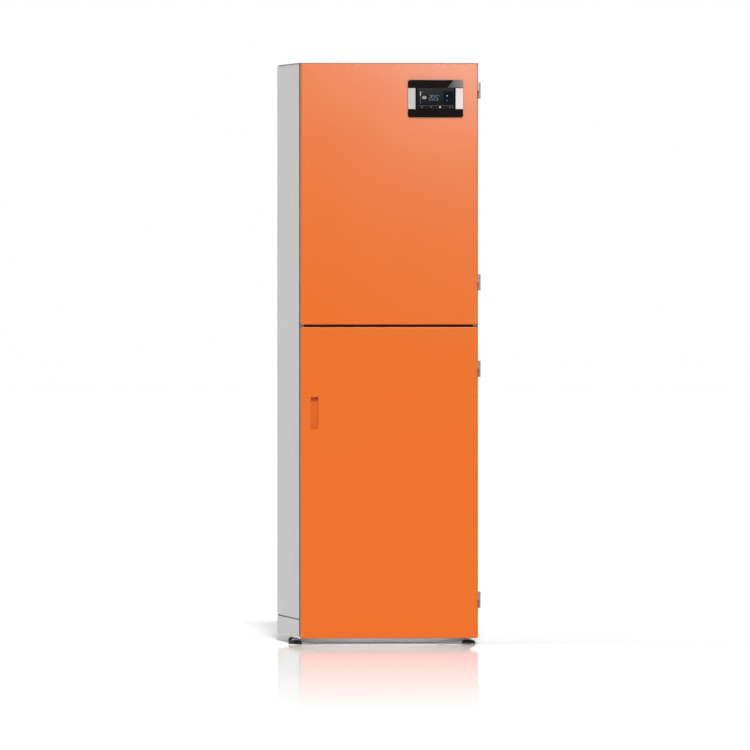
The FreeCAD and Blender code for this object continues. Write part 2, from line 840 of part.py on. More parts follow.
def rear_panel():
    """The flat back, behind the side panels' rear folds, with a cut-out for each thing that passes."""
    panel = body("rear_panel")
    outline = sketch(panel, "XZ", REAR_PANEL)
    wide = f"({SIDE} - bend_radius - 2 * panel_wall)"
    narrow = f"({INNER_SIDE} - panel_fit)"
    step = f"({FLOOR} + corner_radius + panel_wall)"
    top = f"({TOP} - corner_radius - panel_wall)"
    polygon(outline, [
        (f"-{narrow}", FLOOR), (narrow, FLOOR), (narrow, step), (wide, step), (wide, top),
        (f"-{wide}", top), (f"-{wide}", step), (f"-{narrow}", step)])
    circle(outline, "flue_side", FLUE_Z, "flue_radius + panel_hole_fit")
    circle(outline, "-fan_side", FLUE_Z, "fan_motor_radius + panel_hole_fit")
    circle(outline, PIPE_X, FLOW_Z, "pipe_radius + panel_hole_fit")
    circle(outline, PIPE_X, RETURN_Z, "pipe_radius + panel_hole_fit")
    circle(outline, DRAIN_X, DRAIN_Z, "drain_radius + panel_hole_fit")
    rectangle(outline, around(SWITCH_X, "switch_width"), around(CONTROLS_Z, "switch_height"))
    circle(outline, BUTTON_X, CONTROLS_Z, "button_radius + panel_hole_fit")
    for index in range(int(value("vent_count"))):
        height = f"{RAIL_BOTTOM} + vent_rise + {index} * vent_pitch"
        for side in (-1, 1):
            middle = f"{side} * (vent_length / 2 + vent_pitch)"
            rectangle(outline, around(middle, "vent_length"), around(height, "vent_width"))
    pad(panel, outline, "panel_wall", -1)
    keep(panel, "rear_panel")


# Doors
def door_skin(label, low, high):
    """A folded sheet tray, open at the back."""
    piece = body(label)
    outline = sketch(piece, "XZ", DOOR_FRONT)
    rectangle(outline, around("0", DOOR_WIDTH), (low, high))
    pad(piece, outline, "door_depth")
    round_edges(piece, "door_corner", runs("y"))
    round_edges(piece, "door_edge", lies_at("y", DOOR_FRONT))
    hollow(piece, "door_wall", lies_at("y", DOOR_BACK))
    return piece


def door_liner(label, low, high):
    """The sheet that closes a door's back, with its middle pressed out to stiffen it."""
    piece = body(label)
    edge = "(door_wall + liner_fit)"
    back = f"({DOOR_BACK} - liner_inset)"
    outline = sketch(piece, "XZ", back)
    rectangle(outline, around("0", f"{DOOR_WIDTH} - 2 * {edge}"), (f"{low} + {edge}", f"{high} - {edge}"))
    pad(piece, outline, "liner_wall", -1)
    round_edges(piece, "door_corner - door_wall", runs("y"))
    raised = sketch(piece, "XZ", back)
    rectangle(raised, around("0", f"{DOOR_WIDTH} - 2 * liner_border"),
              (f"{low} + liner_border", f"{high} - liner_border"))
    pad(piece, raised, "liner_swage")
    round_edges(piece, "liner_swage - liner_wall", lies_at("y", f"{back} + liner_swage"))
    pressed = sketch(piece, "XZ", f"{back} - liner_wall")
    border = "(liner_border + liner_wall)"
    rectangle(pressed, around("0", f"{DOOR_WIDTH} - 2 * {border}"),
              (f"{low} + {border}", f"{high} - {border}"))
    pocket(piece, pressed, "liner_swage")
    return piece


def doors():
    upper = door_skin("upper_door_skin", UPPER_DOOR_BOTTOM, UPPER_DOOR_TOP)
    lower = door_skin("lower_door_skin", LOWER_DOOR_BOTTOM, LOWER_DOOR_TOP)
    upper_liner = door_liner("upper_door_liner", UPPER_DOOR_BOTTOM, UPPER_DOOR_TOP)
    lower_liner = door_liner("lower_door_liner", LOWER_DOOR_BOTTOM, LOWER_DOOR_TOP)
    box_width = "(display_width - 2 * display_box_margin)"
    box_height = "(display_height - 2 * display_box_margin)"
    for piece, front, depth in ((upper, DOOR_FRONT, "2 * door_wall"),
                                (upper_liner, f"({DOOR_BACK} - liner_inset - liner_wall)",
                                 "liner_wall + 2 * liner_swage")):
        window = sketch(piece, "XZ", front)
        rectangle(window, around(DISPLAY_X, f"{box_width} + 2 * display_fit"),
                  around(DISPLAY_Z, f"{box_height} + 2 * display_fit"))
        pocket(piece, window, depth)
    opening = sketch(lower, "XZ", DOOR_FRONT)
    rectangle(opening, around(PULL_X, "pull_width"), around(PULL_Z, "pull_height"))
    pocket(lower, opening, "2 * door_wall")
    for piece in (upper, upper_liner, lower, lower_liner):
        keep(piece, piece.Label)


def finger_pull():
    """A cup behind the lower door's cut-out; the sheet's edge stands over it as a lip."""
    piece = body("lower_door_pull")
    back = f"({DOOR_FRONT} + door_wall)"
    width = "(pull_width + 2 * pull_undercut)"
    height = "(pull_height + 2 * pull_undercut)"
    for margin, depth in (("pull_wall + pull_flange", "pull_wall"),
                          ("pull_wall", "pull_depth + pull_wall")):
        outline = sketch(piece, "XZ", back)
        rectangle(outline, around(PULL_X, f"{width} + 2 * ({margin})"),
                  around(PULL_Z, f"{height} + 2 * ({margin})"))
        pad(piece, outline, depth)
    cavity = sketch(piece, "XZ", back)
    rectangle(cavity, around(PULL_X, width), around(PULL_Z, height))
    pocket(piece, cavity, "pull_depth")
    round_edges(piece, "pull_edge", lies_at("y", f"{back} + pull_depth"))
    keep(piece, "lower_door_pull")


def controller():
    front = f"({DOOR_FRONT} - display_proud)"
    width = "(display_width - 2 * display_box_margin)"
    height = "(display_height - 2 * display_box_margin)"
    housing = body("display_housing")
    bezel = sketch(housing, "XZ", front)
    rectangle(bezel, around(DISPLAY_X, "display_width"), around(DISPLAY_Z, "display_height"))
    pad(housing, bezel, "display_proud")
    round_edges(housing, "display_corner", runs("y"))
    round_edges(housing, "display_edge", lies_at("y", front))
    box = sketch(housing, "XZ", DOOR_FRONT)
    rectangle(box, around(DISPLAY_X, width), around(DISPLAY_Z, height))
    pad(housing, box, "display_box_depth")
    round_edges(housing, "display_box_edge", lies_at("y", f"{DOOR_FRONT} + display_box_depth"))
    screen = sketch(housing, "XZ", front)
    rectangle(screen, around(DISPLAY_X, "screen_width"), around(DISPLAY_Z, "screen_height"))
    pocket(housing, screen, "screen_recess")
    sides = sketch(housing, "XZ", front)
    grip_places = []
    for side in (-1, 1):
        outer = f"{DISPLAY_X} + {side} * display_width / 2"
        inner = f"{DISPLAY_X} + {side} * (display_width / 2 - grip_width)"
        span = (outer, inner) if side < 0 else (inner, outer)
        grip_places.append(span)
        rectangle(sides, span, around(DISPLAY_Z, "grip_height"))
    pocket(housing, sides, "grip_recess")
    keep(housing, "display_housing")

    glass_back = f"({front} + screen_recess)"
    glass = block(around(DISPLAY_X, "screen_width"), (f"{glass_back} - screen_thickness", glass_back),
                  around(DISPLAY_Z, "screen_height"))
    keep(glass, "display_glass")
    grips = []
    for span in grip_places:
        grip = body("grip")
        outline = sketch(grip, "XZ", front)
        rectangle(outline, span, around(DISPLAY_Z, "grip_height"))
        pad(grip, outline, "grip_recess")
        round_edges(grip, "grip_edge", lies_at("y", front))
        grips.append(grip)
    keep(group(*grips), "display_grips")


UPPER_HINGES = (f"({UPPER_DOOR_TOP} - hinge_inset_top)", f"({UPPER_DOOR_BOTTOM} + hinge_inset_above)")
LOWER_HINGES = (f"({LOWER_DOOR_TOP} - hinge_inset_below)", f"({LOWER_DOOR_BOTTOM} + hinge_inset_bottom)")


def hinges():
    """Lift-off hinges: a fixed lower knuckle that carries the pin, and a door knuckle on top of it."""
    axis = (HINGE_X, HINGE_Y)
    fixed = []
    pins = []
    for middle in UPPER_HINGES + LOWER_HINGES:
        low = f"({middle} - hinge_height / 2)"
        span = (low, f"{middle} - hinge_play / 2")
        knuckle = rod("z", axis, span, "hinge_radius")
        leaf = block((SIDE, f"{SIDE} + hinge_leaf_wall"), (HINGE_Y, f"{FRONT} + hinge_leaf"), span)
        bore = rod("z", axis, span, "hinge_pin_radius")
        fixed.append(cut(join(knuckle, leaf), bore))
        pins.append(rod("z", axis, (low, f"{middle} + hinge_height / 2 - hinge_pin_end"), "hinge_pin_radius"))
    keep(group(*fixed), "hinge_casing_halves")
    keep(group(*pins), "hinge_pins")
    edge = f"({DOOR_WIDTH} / 2)"
    for label, middles in (("upper_door_hinge_halves", UPPER_HINGES),
                           ("lower_door_hinge_halves", LOWER_HINGES)):
        moving = []
        for middle in middles:
            span = (f"{middle} + hinge_play / 2", f"{middle} + hinge_height / 2")
            knuckle = rod("z", axis, span, "hinge_radius")
            leaf = block((edge, f"{edge} + hinge_leaf_wall"), (f"{DOOR_FRONT} + door_edge", HINGE_Y), span)
            link = block((edge, HINGE_X), (f"{HINGE_Y} - hinge_radius", f"{HINGE_Y} - hinge_pin_radius"),
                         span)
            end = f"{middle} + hinge_height / 2 - hinge_pin_end + hinge_play"
            bore = rod("z", axis, (f"{middle} - hinge_play", end), "hinge_pin_radius + hinge_pin_fit")
            moving.append(cut(join(knuckle, leaf, link), bore))
        keep(group(*moving), label)


def seals_and_catches():
    """Black strips around both openings, each broken at the left by the two magnet catches."""
    depth = (f"{FRONT} - door_gap + seal_clearance", FRONT)
    outer = f"({DOOR_WIDTH} / 2 - seal_clearance)"
    strips = []
    magnets = []
    magnet_x = (f"magnet_inset - {SIDE}", f"magnet_inset + magnet_length - {SIDE}")
    for low, high in ((UPPER_DOOR_BOTTOM, UPPER_DOOR_TOP), (LOWER_DOOR_BOTTOM, LOWER_DOOR_TOP)):
        bottom = f"({low} + seal_inset)"
        top = f"({high} - seal_inset)"
        for side in (-1, 1):
            ends = [f"{side} * ({outer} - {width})" for width in ("seal_width", "0")]
            strips.append(block(ends if side > 0 else ends[::-1], depth, (bottom, top)))
        for span in ((bottom, f"{bottom} + seal_width"), (f"{top} - seal_width", top)):
            strips.append(block((f"{magnet_x[1]} + seal_clearance", f"{outer} - seal_width"), depth, span))
            middle = f"(({span[0]}) + ({span[1]})) / 2"
            magnets.append(block(magnet_x, depth, around(middle, "magnet_height")))
    keep(group(*strips), "door_seals")
    keep(group(*magnets), "magnet_catches")


# Hopper and auger
def ruled_plate(low, high):
    """A flat plate between an edge strip below and an edge strip above, each (x, y, z)."""
    piece = body("plate")
    outlines = []
    for x, y, z in (low, high):
        outline = sketch(piece, "XY", z)
        rectangle(outline, x, y)
        outlines.append(outline)
    item = piece.newObject("PartDesign::AdditiveLoft", "slope")
    item.Profile = outlines[0]
    item.Sections = [outlines[1]]
    item.Ruled = True
    piece.Tip = item
    doc.recompute()
    return piece


def hopper():
    walls = []
    for side in (-1, 1):
        ends = [f"{side} * {HOPPER_SIDE}", f"{side} * ({HOPPER_SIDE} + hopper_wall)"]
        walls.append(block(ends if side > 0 else ends[::-1], (HOPPER_FRONT, f"{HOPPER_REAR} + hopper_wall"),
                           (RAIL_TOP, HOPPER_TOP)))
    across = (f"-{HOPPER_SIDE}", HOPPER_SIDE)
    walls.append(block(across, (HOPPER_REAR, f"{HOPPER_REAR} + hopper_wall"), (RAIL_TOP, HOPPER_TOP)))
    apron_top = f"({FUNNEL_TOP} + apron_height)"
    apron = block(across, (HOPPER_FRONT, f"{HOPPER_FRONT} + hopper_wall"), (FUNNEL_TOP, apron_top))
    lip = block(across, (f"{HOPPER_FRONT} - apron_lip", f"{HOPPER_FRONT} + hopper_wall"),
                (f"{apron_top} - hopper_wall", apron_top))
    walls.append(join(apron, lip))
    keep(group(*walls), "hopper_walls")

    plates = []
    for side in (-1, 1):
        low = [f"{side} * trough_radius", f"{side} * (trough_radius + hopper_wall)"]
        high = [f"{side} * ({HOPPER_SIDE} - hopper_wall)", f"{side} * {HOPPER_SIDE}"]
        if side < 0:
            low.reverse()
            high.reverse()
        plates.append(ruled_plate((low, (SLOT_FRONT, SLOT_REAR), TROUGH_TOP),
                                  (high, (HOPPER_FRONT, HOPPER_REAR), FUNNEL_TOP)))
    wide_low = ("-trough_radius", "trough_radius")
    wide_high = (f"hopper_wall - {HOPPER_SIDE}", f"{HOPPER_SIDE} - hopper_wall")
    plates.append(ruled_plate((wide_low, (f"{SLOT_FRONT} - hopper_wall", SLOT_FRONT), TROUGH_TOP),
                              (wide_high, (HOPPER_FRONT, f"{HOPPER_FRONT} + hopper_wall"), FUNNEL_TOP)))
    plates.append(ruled_plate((wide_low, (SLOT_REAR, f"{SLOT_REAR} + hopper_wall"), TROUGH_TOP),
                              (wide_high, (f"{HOPPER_REAR} - hopper_wall", HOPPER_REAR), FUNNEL_TOP)))
    keep(group(*plates), "hopper_funnel")


def auger():
    axis = ("0", AUGER_Z)
    span = (TROUGH_FRONT, TROUGH_REAR)
    outer = "(trough_radius + trough_wall)"
    shell = [rod("y", axis, span, outer), block((f"-{outer}", outer), span, (AUGER_Z, TROUGH_TOP))]
    for foot in (f"{SLOT_FRONT} + trough_foot_inset", f"{SLOT_REAR} - trough_foot_inset"):
        shell.append(block(("-trough_foot", "trough_foot"), around(foot, "trough_foot"), (RAIL_TOP, AUGER_Z)))
    inside = (f"{TROUGH_FRONT} + trough_wall", f"{TROUGH_REAR} - trough_wall")
    trough = cut(
        join(*shell),
        rod("y", axis, inside, "trough_radius"),
        block(("-trough_radius", "trough_radius"), inside, (AUGER_Z, f"{TROUGH_TOP} - trough_wall")),
        block(("-trough_radius", "trough_radius"), (SLOT_FRONT, SLOT_REAR),
              (AUGER_Z, f"{TROUGH_TOP} + trough_wall")),
        rod("z", ("0", DROP_Y), (f"{AUGER_Z} - 2 * trough_radius", AUGER_Z), "drop_radius - drop_wall"),
        rod("y", axis, (f"{TROUGH_FRONT} - trough_wall", f"{TROUGH_REAR} + trough_wall"),
            "shaft_radius + shaft_fit"))
    keep(trough, "auger_trough")

    drop = cut(
        rod("z", ("0", DROP_Y), (BURNER_TOP, AUGER_Z), "drop_radius"),
        rod("z", ("0", DROP_Y), (f"{BURNER_TOP} - drop_wall", f"{AUGER_Z} + drop_wall"),
            "drop_radius - drop_wall"),
        rod("y", axis, span, outer))
    keep(drop, "drop_tube")

    gear = body("gearbox")
    outline = sketch(gear, "XZ", TROUGH_FRONT)
    rectangle(outline, around("0", "gearbox_width"), around(AUGER_Z, "gearbox_height"))
    pad(gear, outline, "gearbox_depth", -1)
    round_edges(gear, "gearbox_edge", runs("y"))
    face = f"({TROUGH_FRONT} - gearbox_depth)"
    round_edges(gear, "gearbox_edge / 2", lies_at("y", face))
    lugs = sketch(gear, "XZ", TROUGH_FRONT)
    rectangle(lugs, around("0", "gearbox_width - 2 * gearbox_lug"),
              around(AUGER_Z, "gearbox_height + 2 * gearbox_lug"))
    pad(gear, lugs, "gearbox_lug_wall", -1)
    cap = sketch(gear, "XZ", face)
    circle(cap, "0", AUGER_Z, "gearbox_cap")
    pad(gear, cap, "gearbox_cap_height", -1)
    round_edges(gear, "gearbox_cap_height / 2", lies_at("y", f"{face} - gearbox_cap_height"))
    socket = sketch(gear, "XZ", TROUGH_FRONT)
    circle(socket, "0", AUGER_Z, "shaft_radius + shaft_fit")
    pocket(gear, socket, "gearbox_socket", -1)
    start = "gearbox_width / 2"
    end = f"({start} + motor_length)"
    barrel = f"({start} + motor_cap)"
    pitch = "((motor_length - 2 * motor_cap) / (motor_fins + 1))"
    motor = turned("motor", "x", ("0", f"{TROUGH_FRONT} - gearbox_depth / 2", AUGER_Z), [
        ("0", start), ("gearbox_depth / 2", start), ("gearbox_depth / 2", barrel), ("motor_radius", barrel),
        *fins("motor_radius", "motor_fin_depth", barrel, pitch, "motor_fin", "motor_fins"),
        ("motor_radius", f"{end} - motor_cap"), ("motor_radius - motor_cap / 2", end), ("0", end)])
    keep(group(gear, motor), "auger_gearmotor")
    keep(auger_screw(), "auger_screw")


def auger_screw():
    """A shaft with one helical flight along it."""
    start = value(f"{TROUGH_FRONT} + trough_wall + flight_gap")
    end = value(f"{TROUGH_REAR} - trough_wall - flight_gap")
    shaft_radius = value("shaft_radius")
    flight_radius = value("flight_radius")
    thickness = value("flight_thickness")
    root = shaft_radius - thickness / 2
    height = end - start - thickness
    spine = Part.Wire(Part.makeHelix(value("flight_pitch"), height, flight_radius))
    corners = [FreeCAD.Vector(root, 0, 0), FreeCAD.Vector(flight_radius, 0, 0),
               FreeCAD.Vector(flight_radius, 0, thickness), FreeCAD.Vector(root, 0, thickness)]
    flight = spine.makePipeShell([Part.makePolygon(corners + corners[:1])], True, True)
    low = value(f"{TROUGH_FRONT} - gearbox_socket") + thickness
    high = value(TROUGH_REAR)
    shaft = Part.makeCylinder(shaft_radius, high - low, FreeCAD.Vector(0, 0, low - start))
    item = doc.addObject("Part::Feature", "screw")
    item.Shape = shaft.fuse(flight)
    item.Placement = FreeCAD.Placement(FreeCAD.Vector(0, start, value(AUGER_Z)), TURNS["y"])
    return item


def control_box():
    piece = body("control_box")
    left = f"control_side_gap - {HOPPER_SIDE}"
    right = "-(gearbox_width / 2 + control_gear_gap)"
    front = f"({FRONT} + control_front_gap)"
    back = f"({front} + control_depth)"
    top = f"({RAIL_TOP} + control_height)"
    outline = sketch(piece, "XY", RAIL_TOP)
    rectangle(outline, (left, right), (front, back))
    pad(piece, outline, "control_height")
    round_edges(piece, "control_edge", runs("z"))
    round_edges(piece, "control_edge / 2", lies_at("z", top))
    seam = sketch(piece, "XY", f"{top} - control_lid")
    for grow in ("control_seam", "-control_seam"):
        rectangle(seam, (f"{left} - {grow}", f"{right} + {grow}"), (f"{front} - {grow}", f"{back} + {grow}"))
    pocket(piece, seam, "control_seam", -1)
    slots = sketch(piece, "XZ", front)
    for index in range(int(value("control_slots"))):
        place = f"(({left}) + ({right})) / 2 + ({index} - (control_slots - 1) / 2) * control_slot_pitch"
        rectangle(slots, around(place, "control_slot_width"),
                  around(f"{RAIL_TOP} + control_slot_rise", "control_slot_length"))
    pocket(piece, slots, "control_slot_depth")
    keep(piece, "control_box")


# Boiler block
def boiler_block():
    wall = "boiler_wall"
    across = (f"-{BOILER_SIDE}", BOILER_SIDE)
    rocker = (ROCKER_Y, ROCKER_Z)
    through = (f"{BOILER_REAR} - 2 * {wall}", f"{BOILER_REAR} + {wall}")
    front = (f"{BOILER_FRONT} - {wall}", f"{BOILER_FRONT} + 2 * {wall}")
    shell = cut(
        block(across, (BOILER_FRONT, BOILER_REAR), (FLOOR, BOILER_TOP)),
        block((f"{wall} - {BOILER_SIDE}", f"{BOILER_SIDE} - {wall}"),
              (f"{BOILER_FRONT} + {wall}", f"{BOILER_REAR} - {wall}"),
              (BOILER_BOTTOM, f"{BOILER_TOP} - {wall}")),
        block(around("0", ASH_WIDTH), front, (BOILER_BOTTOM, ASH_TOP)),
        block(around("0", FIRE_WIDTH), front, (FIRE_LOW, FIRE_HIGH)),
        rod("y", ("0", PASSAGE_Z), through, "passage_radius"),
        rod("y", (PIPE_X, FLOW_Z), through, "pipe_bore"),
        rod("y", (PIPE_X, RETURN_Z), through, "pipe_bore"),
        rod("y", (DRAIN_X, DRAIN_Z), through, "drain_bore"),
        rod("x", rocker, (f"-{BOILER_SIDE} - {wall}", f"{BOILER_SIDE} + {wall}"),
            "rocker_radius + rocker_fit"))
    keep(shell, "boiler_shell")

    firebox = cut(
        block(around("0", f"2 * {FIREBOX_SIDE}"), (FIREBOX_FRONT, FIREBOX_REAR), (FIREBOX_LOW, FIREBOX_HIGH)),
        block(around("0", f"2 * ({FIREBOX_SIDE} - firebox_wall)"),
              (f"{FIREBOX_FRONT} - firebox_wall", f"{FIREBOX_REAR} - firebox_wall"),
              (f"{FIREBOX_LOW} - firebox_wall", f"{FIREBOX_HIGH} - firebox_wall")))
    keep(firebox, "firebox")

    places = [(f"{column} * tube_pitch", f"{TUBE_REAR_Y} - {line} * tube_row_gap")
              for line in (0, 1) for column in (-1, 0, 1)]
    solids = []
    for x, y in places:
        solids.append(cut(rod("z", (x, y), (TUBE_LOW, TUBE_HIGH), "tube_radius"),
                          rod("z", (x, y), (TUBE_LOW, TUBE_HIGH), "tube_radius - tube_wall")))
    for low in (f"{TUBE_LOW} - tube_plate", TUBE_HIGH):
        plate = body("tube_plate")
        outline = sketch(plate, "XY", low)
        rectangle(outline, around("0", f"2 * {FIREBOX_SIDE}"), (FIREBOX_REAR, f"{BOILER_REAR} - boiler_wall"))
        for x, y in places:
            circle(outline, x, y, "tube_radius - tube_wall")
        pad(plate, outline, "tube_plate")
        solids.append(plate)
    keep(group(*solids), "fire_tubes")

    strips = [turbulator(x, y) for x, y in places]
    bar = block(around("0", "2 * (tube_pitch + lift_bar_side)"),
                (BAR_FRONT, f"{TUBE_REAR_Y} + lift_bar_overhang"),
                (BAR_LOW, f"{BAR_LOW} + lift_bar_thickness"))
    keep(group(bar, *strips), "turbulators")

    arms = []
    for side in (-1, 1):
        arms.append(block(around(f"{side} * tube_pitch / 2", "rocker_arm_width"),
                          (ROCKER_Y, f"{ROCKER_Y} + rocker_arm"), around(ROCKER_Z, "rocker_arm_thickness")))
    span = (f"-{BOILER_SIDE} - rocker_socket + rocker_arm_thickness / 2", f"{BOILER_SIDE} - rocker_play")
    keep(join(rod("x", rocker, span, "rocker_radius"), *arms), "cleaning_shaft")

    cleaner = body("cleaning_gearmotor")
    outline = sketch(cleaner, "YZ", f"-{BOILER_SIDE}")
    rectangle(outline, around(ROCKER_Y, "cleaner_width"), around(ROCKER_Z, "cleaner_height"))
    pad(cleaner, outline, "cleaner_depth", -1)
    round_edges(cleaner, "cleaner_edge", runs("x"))
    round_edges(cleaner, "cleaner_edge / 2", lies_at("x", f"-{BOILER_SIDE} - cleaner_depth"))
    socket = sketch(cleaner, "YZ", f"-{BOILER_SIDE}")
    circle(socket, ROCKER_Y, ROCKER_Z, "rocker_radius + rocker_fit")
    pocket(cleaner, socket, "rocker_socket", -1)
    keep(cleaner, "cleaning_gearmotor")


def turbulator(x, y):
    """A strip folded in a zigzag, hung inside a fire tube."""
    piece = body("turbulator")
    outline = sketch(piece, "YZ", f"{x} - turbulator_width / 2")
    low = f"({TUBE_LOW} + turbulator_foot)"
    folds = int(value(f"({BAR_LOW} - {low}) / turbulator_step"))
    near = []
    far = []
    for index in range(folds + 1):
        height = f"{low} + ({BAR_LOW} - {low}) * {index} / {folds}"
        shift = f"{y} + {(-1) ** index} * turbulator_wave / 2"
        near.append((f"{shift} - turbulator_wall / 2", height))
        far.append((f"{shift} + turbulator_wall / 2", height))
    polygon(outline, near + far[::-1])
    pad(piece, outline, "turbulator_width")
    return piece


def insulation():
    depth = (f"{BOILER_FRONT} + insulation_margin", f"{BOILER_REAR} - insulation_margin")
    across = (f"insulation_margin - {BOILER_SIDE}", f"{BOILER_SIDE} - insulation_margin")
    slabs = []
    for side in (-1, 1):
        ends = [f"{side} * {BOILER_SIDE}", f"{side} * ({BOILER_SIDE} + insulation)"]
        slabs.append(block(ends if side > 0 else ends[::-1], depth,
                           (FLOOR, f"{BOILER_TOP} - insulation_side_drop")))
    slabs.append(block(across, depth, (BOILER_TOP, f"{BOILER_TOP} + insulation")))
    low = f"({FLOOR} + insulation_rear_rise)"
    slabs.append(block(across, (BOILER_REAR, f"{BOILER_REAR} + insulation"),
                       (low, f"{SMOKE_LOW} - insulation_rear_gap")))
    keep(group(*slabs), "boiler_insulation")


def ash_drawer():
    tray = body("ash_drawer")
    outline = sketch(tray, "XY", BOILER_BOTTOM)
    rectangle(outline, around("0", f"{ASH_WIDTH} - 2 * ash_fit"),
              (BOILER_FRONT, f"{BOILER_REAR} - boiler_wall - ash_rear_gap"))
    pad(tray, outline, "ash_height - 2 * ash_fit")
    top = f"{ASH_TOP} - 2 * ash_fit"
    hollow(tray, "ash_wall", lies_at("z", top))
    keep(tray, "ash_drawer")

    front = body("ash_drawer_front")
    outline = sketch(front, "XZ", BOILER_FRONT)
    rectangle(outline, around("0", f"{ASH_WIDTH} + 2 * ash_front_border"),
              (f"{FLOOR} + ash_wall", f"{ASH_TOP} + ash_front_border"))
    pad(front, outline, "ash_front_thickness", -1)
    round_edges(front, "fire_door_corner", runs("y"))
    round_edges(front, "fire_door_edge", lies_at("y", f"{BOILER_FRONT} - ash_front_thickness"))
    keep(front, "ash_drawer_front")

    handle = body("ash_drawer_handle")
    middle = f"{BOILER_BOTTOM} + ash_height / 2"
    face = f"({BOILER_FRONT} - ash_front_thickness)"
    outline = sketch(handle, "XY", f"{middle} - handle_thickness / 2")
    half = "(handle_span / 2)"
    inner = f"({half} - handle_thickness)"
    grip = f"({face} - handle_reach + handle_thickness)"
    tip = f"({face} - handle_reach)"
    polygon(outline, [
        (f"-{half}", face), (f"-{half}", tip), (half, tip), (half, face),
        (inner, face), (inner, grip), (f"-{inner}", grip), (f"-{inner}", face)])
    pad(handle, outline, "handle_thickness")
    round_edges(handle, "handle_bend", both(runs("z"), lies_at("y", tip)))
    keep(handle, "ash_drawer_handle")


def fire_door():
    low = f"({FIRE_LOW} - fire_door_border)"
    high = f"({FIRE_HIGH} + fire_door_border)"
    width = f"({FIRE_WIDTH} + 2 * fire_door_border)"
    hole = "burner_tube_radius + burner_tube_fit"
    door = body("boiler_door")
    outline = sketch(door, "XZ", BOILER_FRONT)
    rectangle(outline, around("0", width), (low, high))
    pad(door, outline, "fire_door_thickness", -1)
    round_edges(door, "fire_door_corner", runs("y"))
    round_edges(door, "fire_door_edge", lies_at("y", FIRE_DOOR_FRONT))
    opening = sketch(door, "XZ", FIRE_DOOR_FRONT)
    circle(opening, "0", BURNER_Z, hole)
    pocket(door, opening, "2 * fire_door_thickness")
    ribs = sketch(door, "XZ", FIRE_DOOR_FRONT)
    for side in (-1, 1):
        rectangle(ribs, around(f"{side} * ({width} / 2 - fire_rib_inset)", "fire_rib_width"),
                  (f"{low} + fire_rib_inset", f"{high} - fire_rib_inset"))
    pad(door, ribs, "fire_rib_height", -1)
    keep(door, "boiler_door")

    slab = body("boiler_door_insulation")
    outline = sketch(slab, "XZ", BOILER_FRONT)
    rectangle(outline, around("0", f"{FIRE_WIDTH} - 2 * fire_insulation_fit"),
              (f"{FIRE_LOW} + fire_insulation_fit", f"{FIRE_HIGH} - fire_insulation_fit"))
    circle(outline, "0", BURNER_Z, hole)
    pad(slab, outline, "fire_insulation")
    keep(slab, "boiler_door_insulation")

    knobs = []
    for side in (-1, 1):
        for height in (f"{low} + knob_inset", f"{high} - knob_inset"):
            neck = "-knob_height / 2"
            knob = turned("knob", "y", (f"{side} * ({width} / 2 - knob_inset)", FIRE_DOOR_FRONT, height), [
                ("0", "0"), ("knob_neck", "0"), ("knob_neck", neck), ("knob_radius", neck),
                ("knob_radius", "knob_bevel - knob_height"), ("knob_radius - knob_bevel", "-knob_height"),
                ("0", "-knob_height")])
            flute = sketch(knob, "XZ", "-knob_height")
            circle(flute, "knob_radius + knob_flute - knob_flute_depth", "0", "knob_flute")
            ring_of(knob, pocket(knob, flute, "knob_height / 2"), "Y_Axis", "knob_flutes")
            knobs.append(knob)
    keep(group(*knobs), "boiler_door_knobs")


def burner():
    piece = body("burner_body")
    flange = sketch(piece, "XZ", FIRE_DOOR_FRONT)
    rectangle(flange, around("0", "burner_flange_size"), around(BURNER_Z, "burner_flange_size"))
    pad(piece, flange, "burner_flange", -1)
    round_edges(piece, "burner_edge", runs("y"))
    front = f"({BURNER_BACK} - burner_depth)"
    outline = sketch(piece, "XZ", BURNER_BACK)
    rectangle(outline, around("0", "burner_width"), (BURNER_LOW, BURNER_TOP))
    pad(piece, outline, "burner_depth", -1)
    round_edges(piece, "burner_edge", lies_at("y", front))
    inside = sketch(piece, "XZ", FIRE_DOOR_FRONT)
    rectangle(inside, around("0", "burner_width - 2 * burner_wall"),
              (f"{BURNER_LOW} + burner_wall", f"{BURNER_Z} + burner_flange_size / 2 - burner_wall"))
    pocket(piece, inside, "burner_flange + burner_depth - burner_wall", -1)
    seam = sketch(piece, "XZ", f"{front} + burner_cover")
    for grow in ("burner_seam", "-burner_seam"):
        rectangle(seam, around("0", f"burner_width + 2 * {grow}"),
                  (f"{BURNER_LOW} - {grow}", f"{BURNER_TOP} + {grow}"))
    pocket(piece, seam, "burner_seam")
    slots = sketch(piece, "XZ", front)
    for index in range(int(value("burner_slots"))):
        height = f"{BURNER_LOW} + burner_slot_rise + {index} * burner_slot_pitch"
        rectangle(slots, around("0", "burner_slot_length"), around(height, "burner_slot_width"))
    pocket(piece, slots, "2 * burner_wall")
    inlet = sketch(piece, "XY", BURNER_TOP)
    circle(inlet, "0", DROP_Y, "drop_radius - drop_wall - burner_inlet_fit")
    circle(inlet, "0", DROP_Y, "drop_radius - 2 * drop_wall - burner_inlet_fit")
    pad(piece, inlet, "burner_inlet")
    keep(piece, "burner_body")

    end = f"({FIREBOX_REAR} - firebox_wall - burner_tube_gap - {FIRE_DOOR_FRONT})"
    inner = "burner_tube_radius - burner_tube_wall"
    tube = turned("burner_tube", "y", ("0", FIRE_DOOR_FRONT, BURNER_Z), [
        (inner, "0"), ("burner_tube_radius", "0"), ("burner_tube_radius", end), (inner, end)])
    keep(tube, "burner_tube")


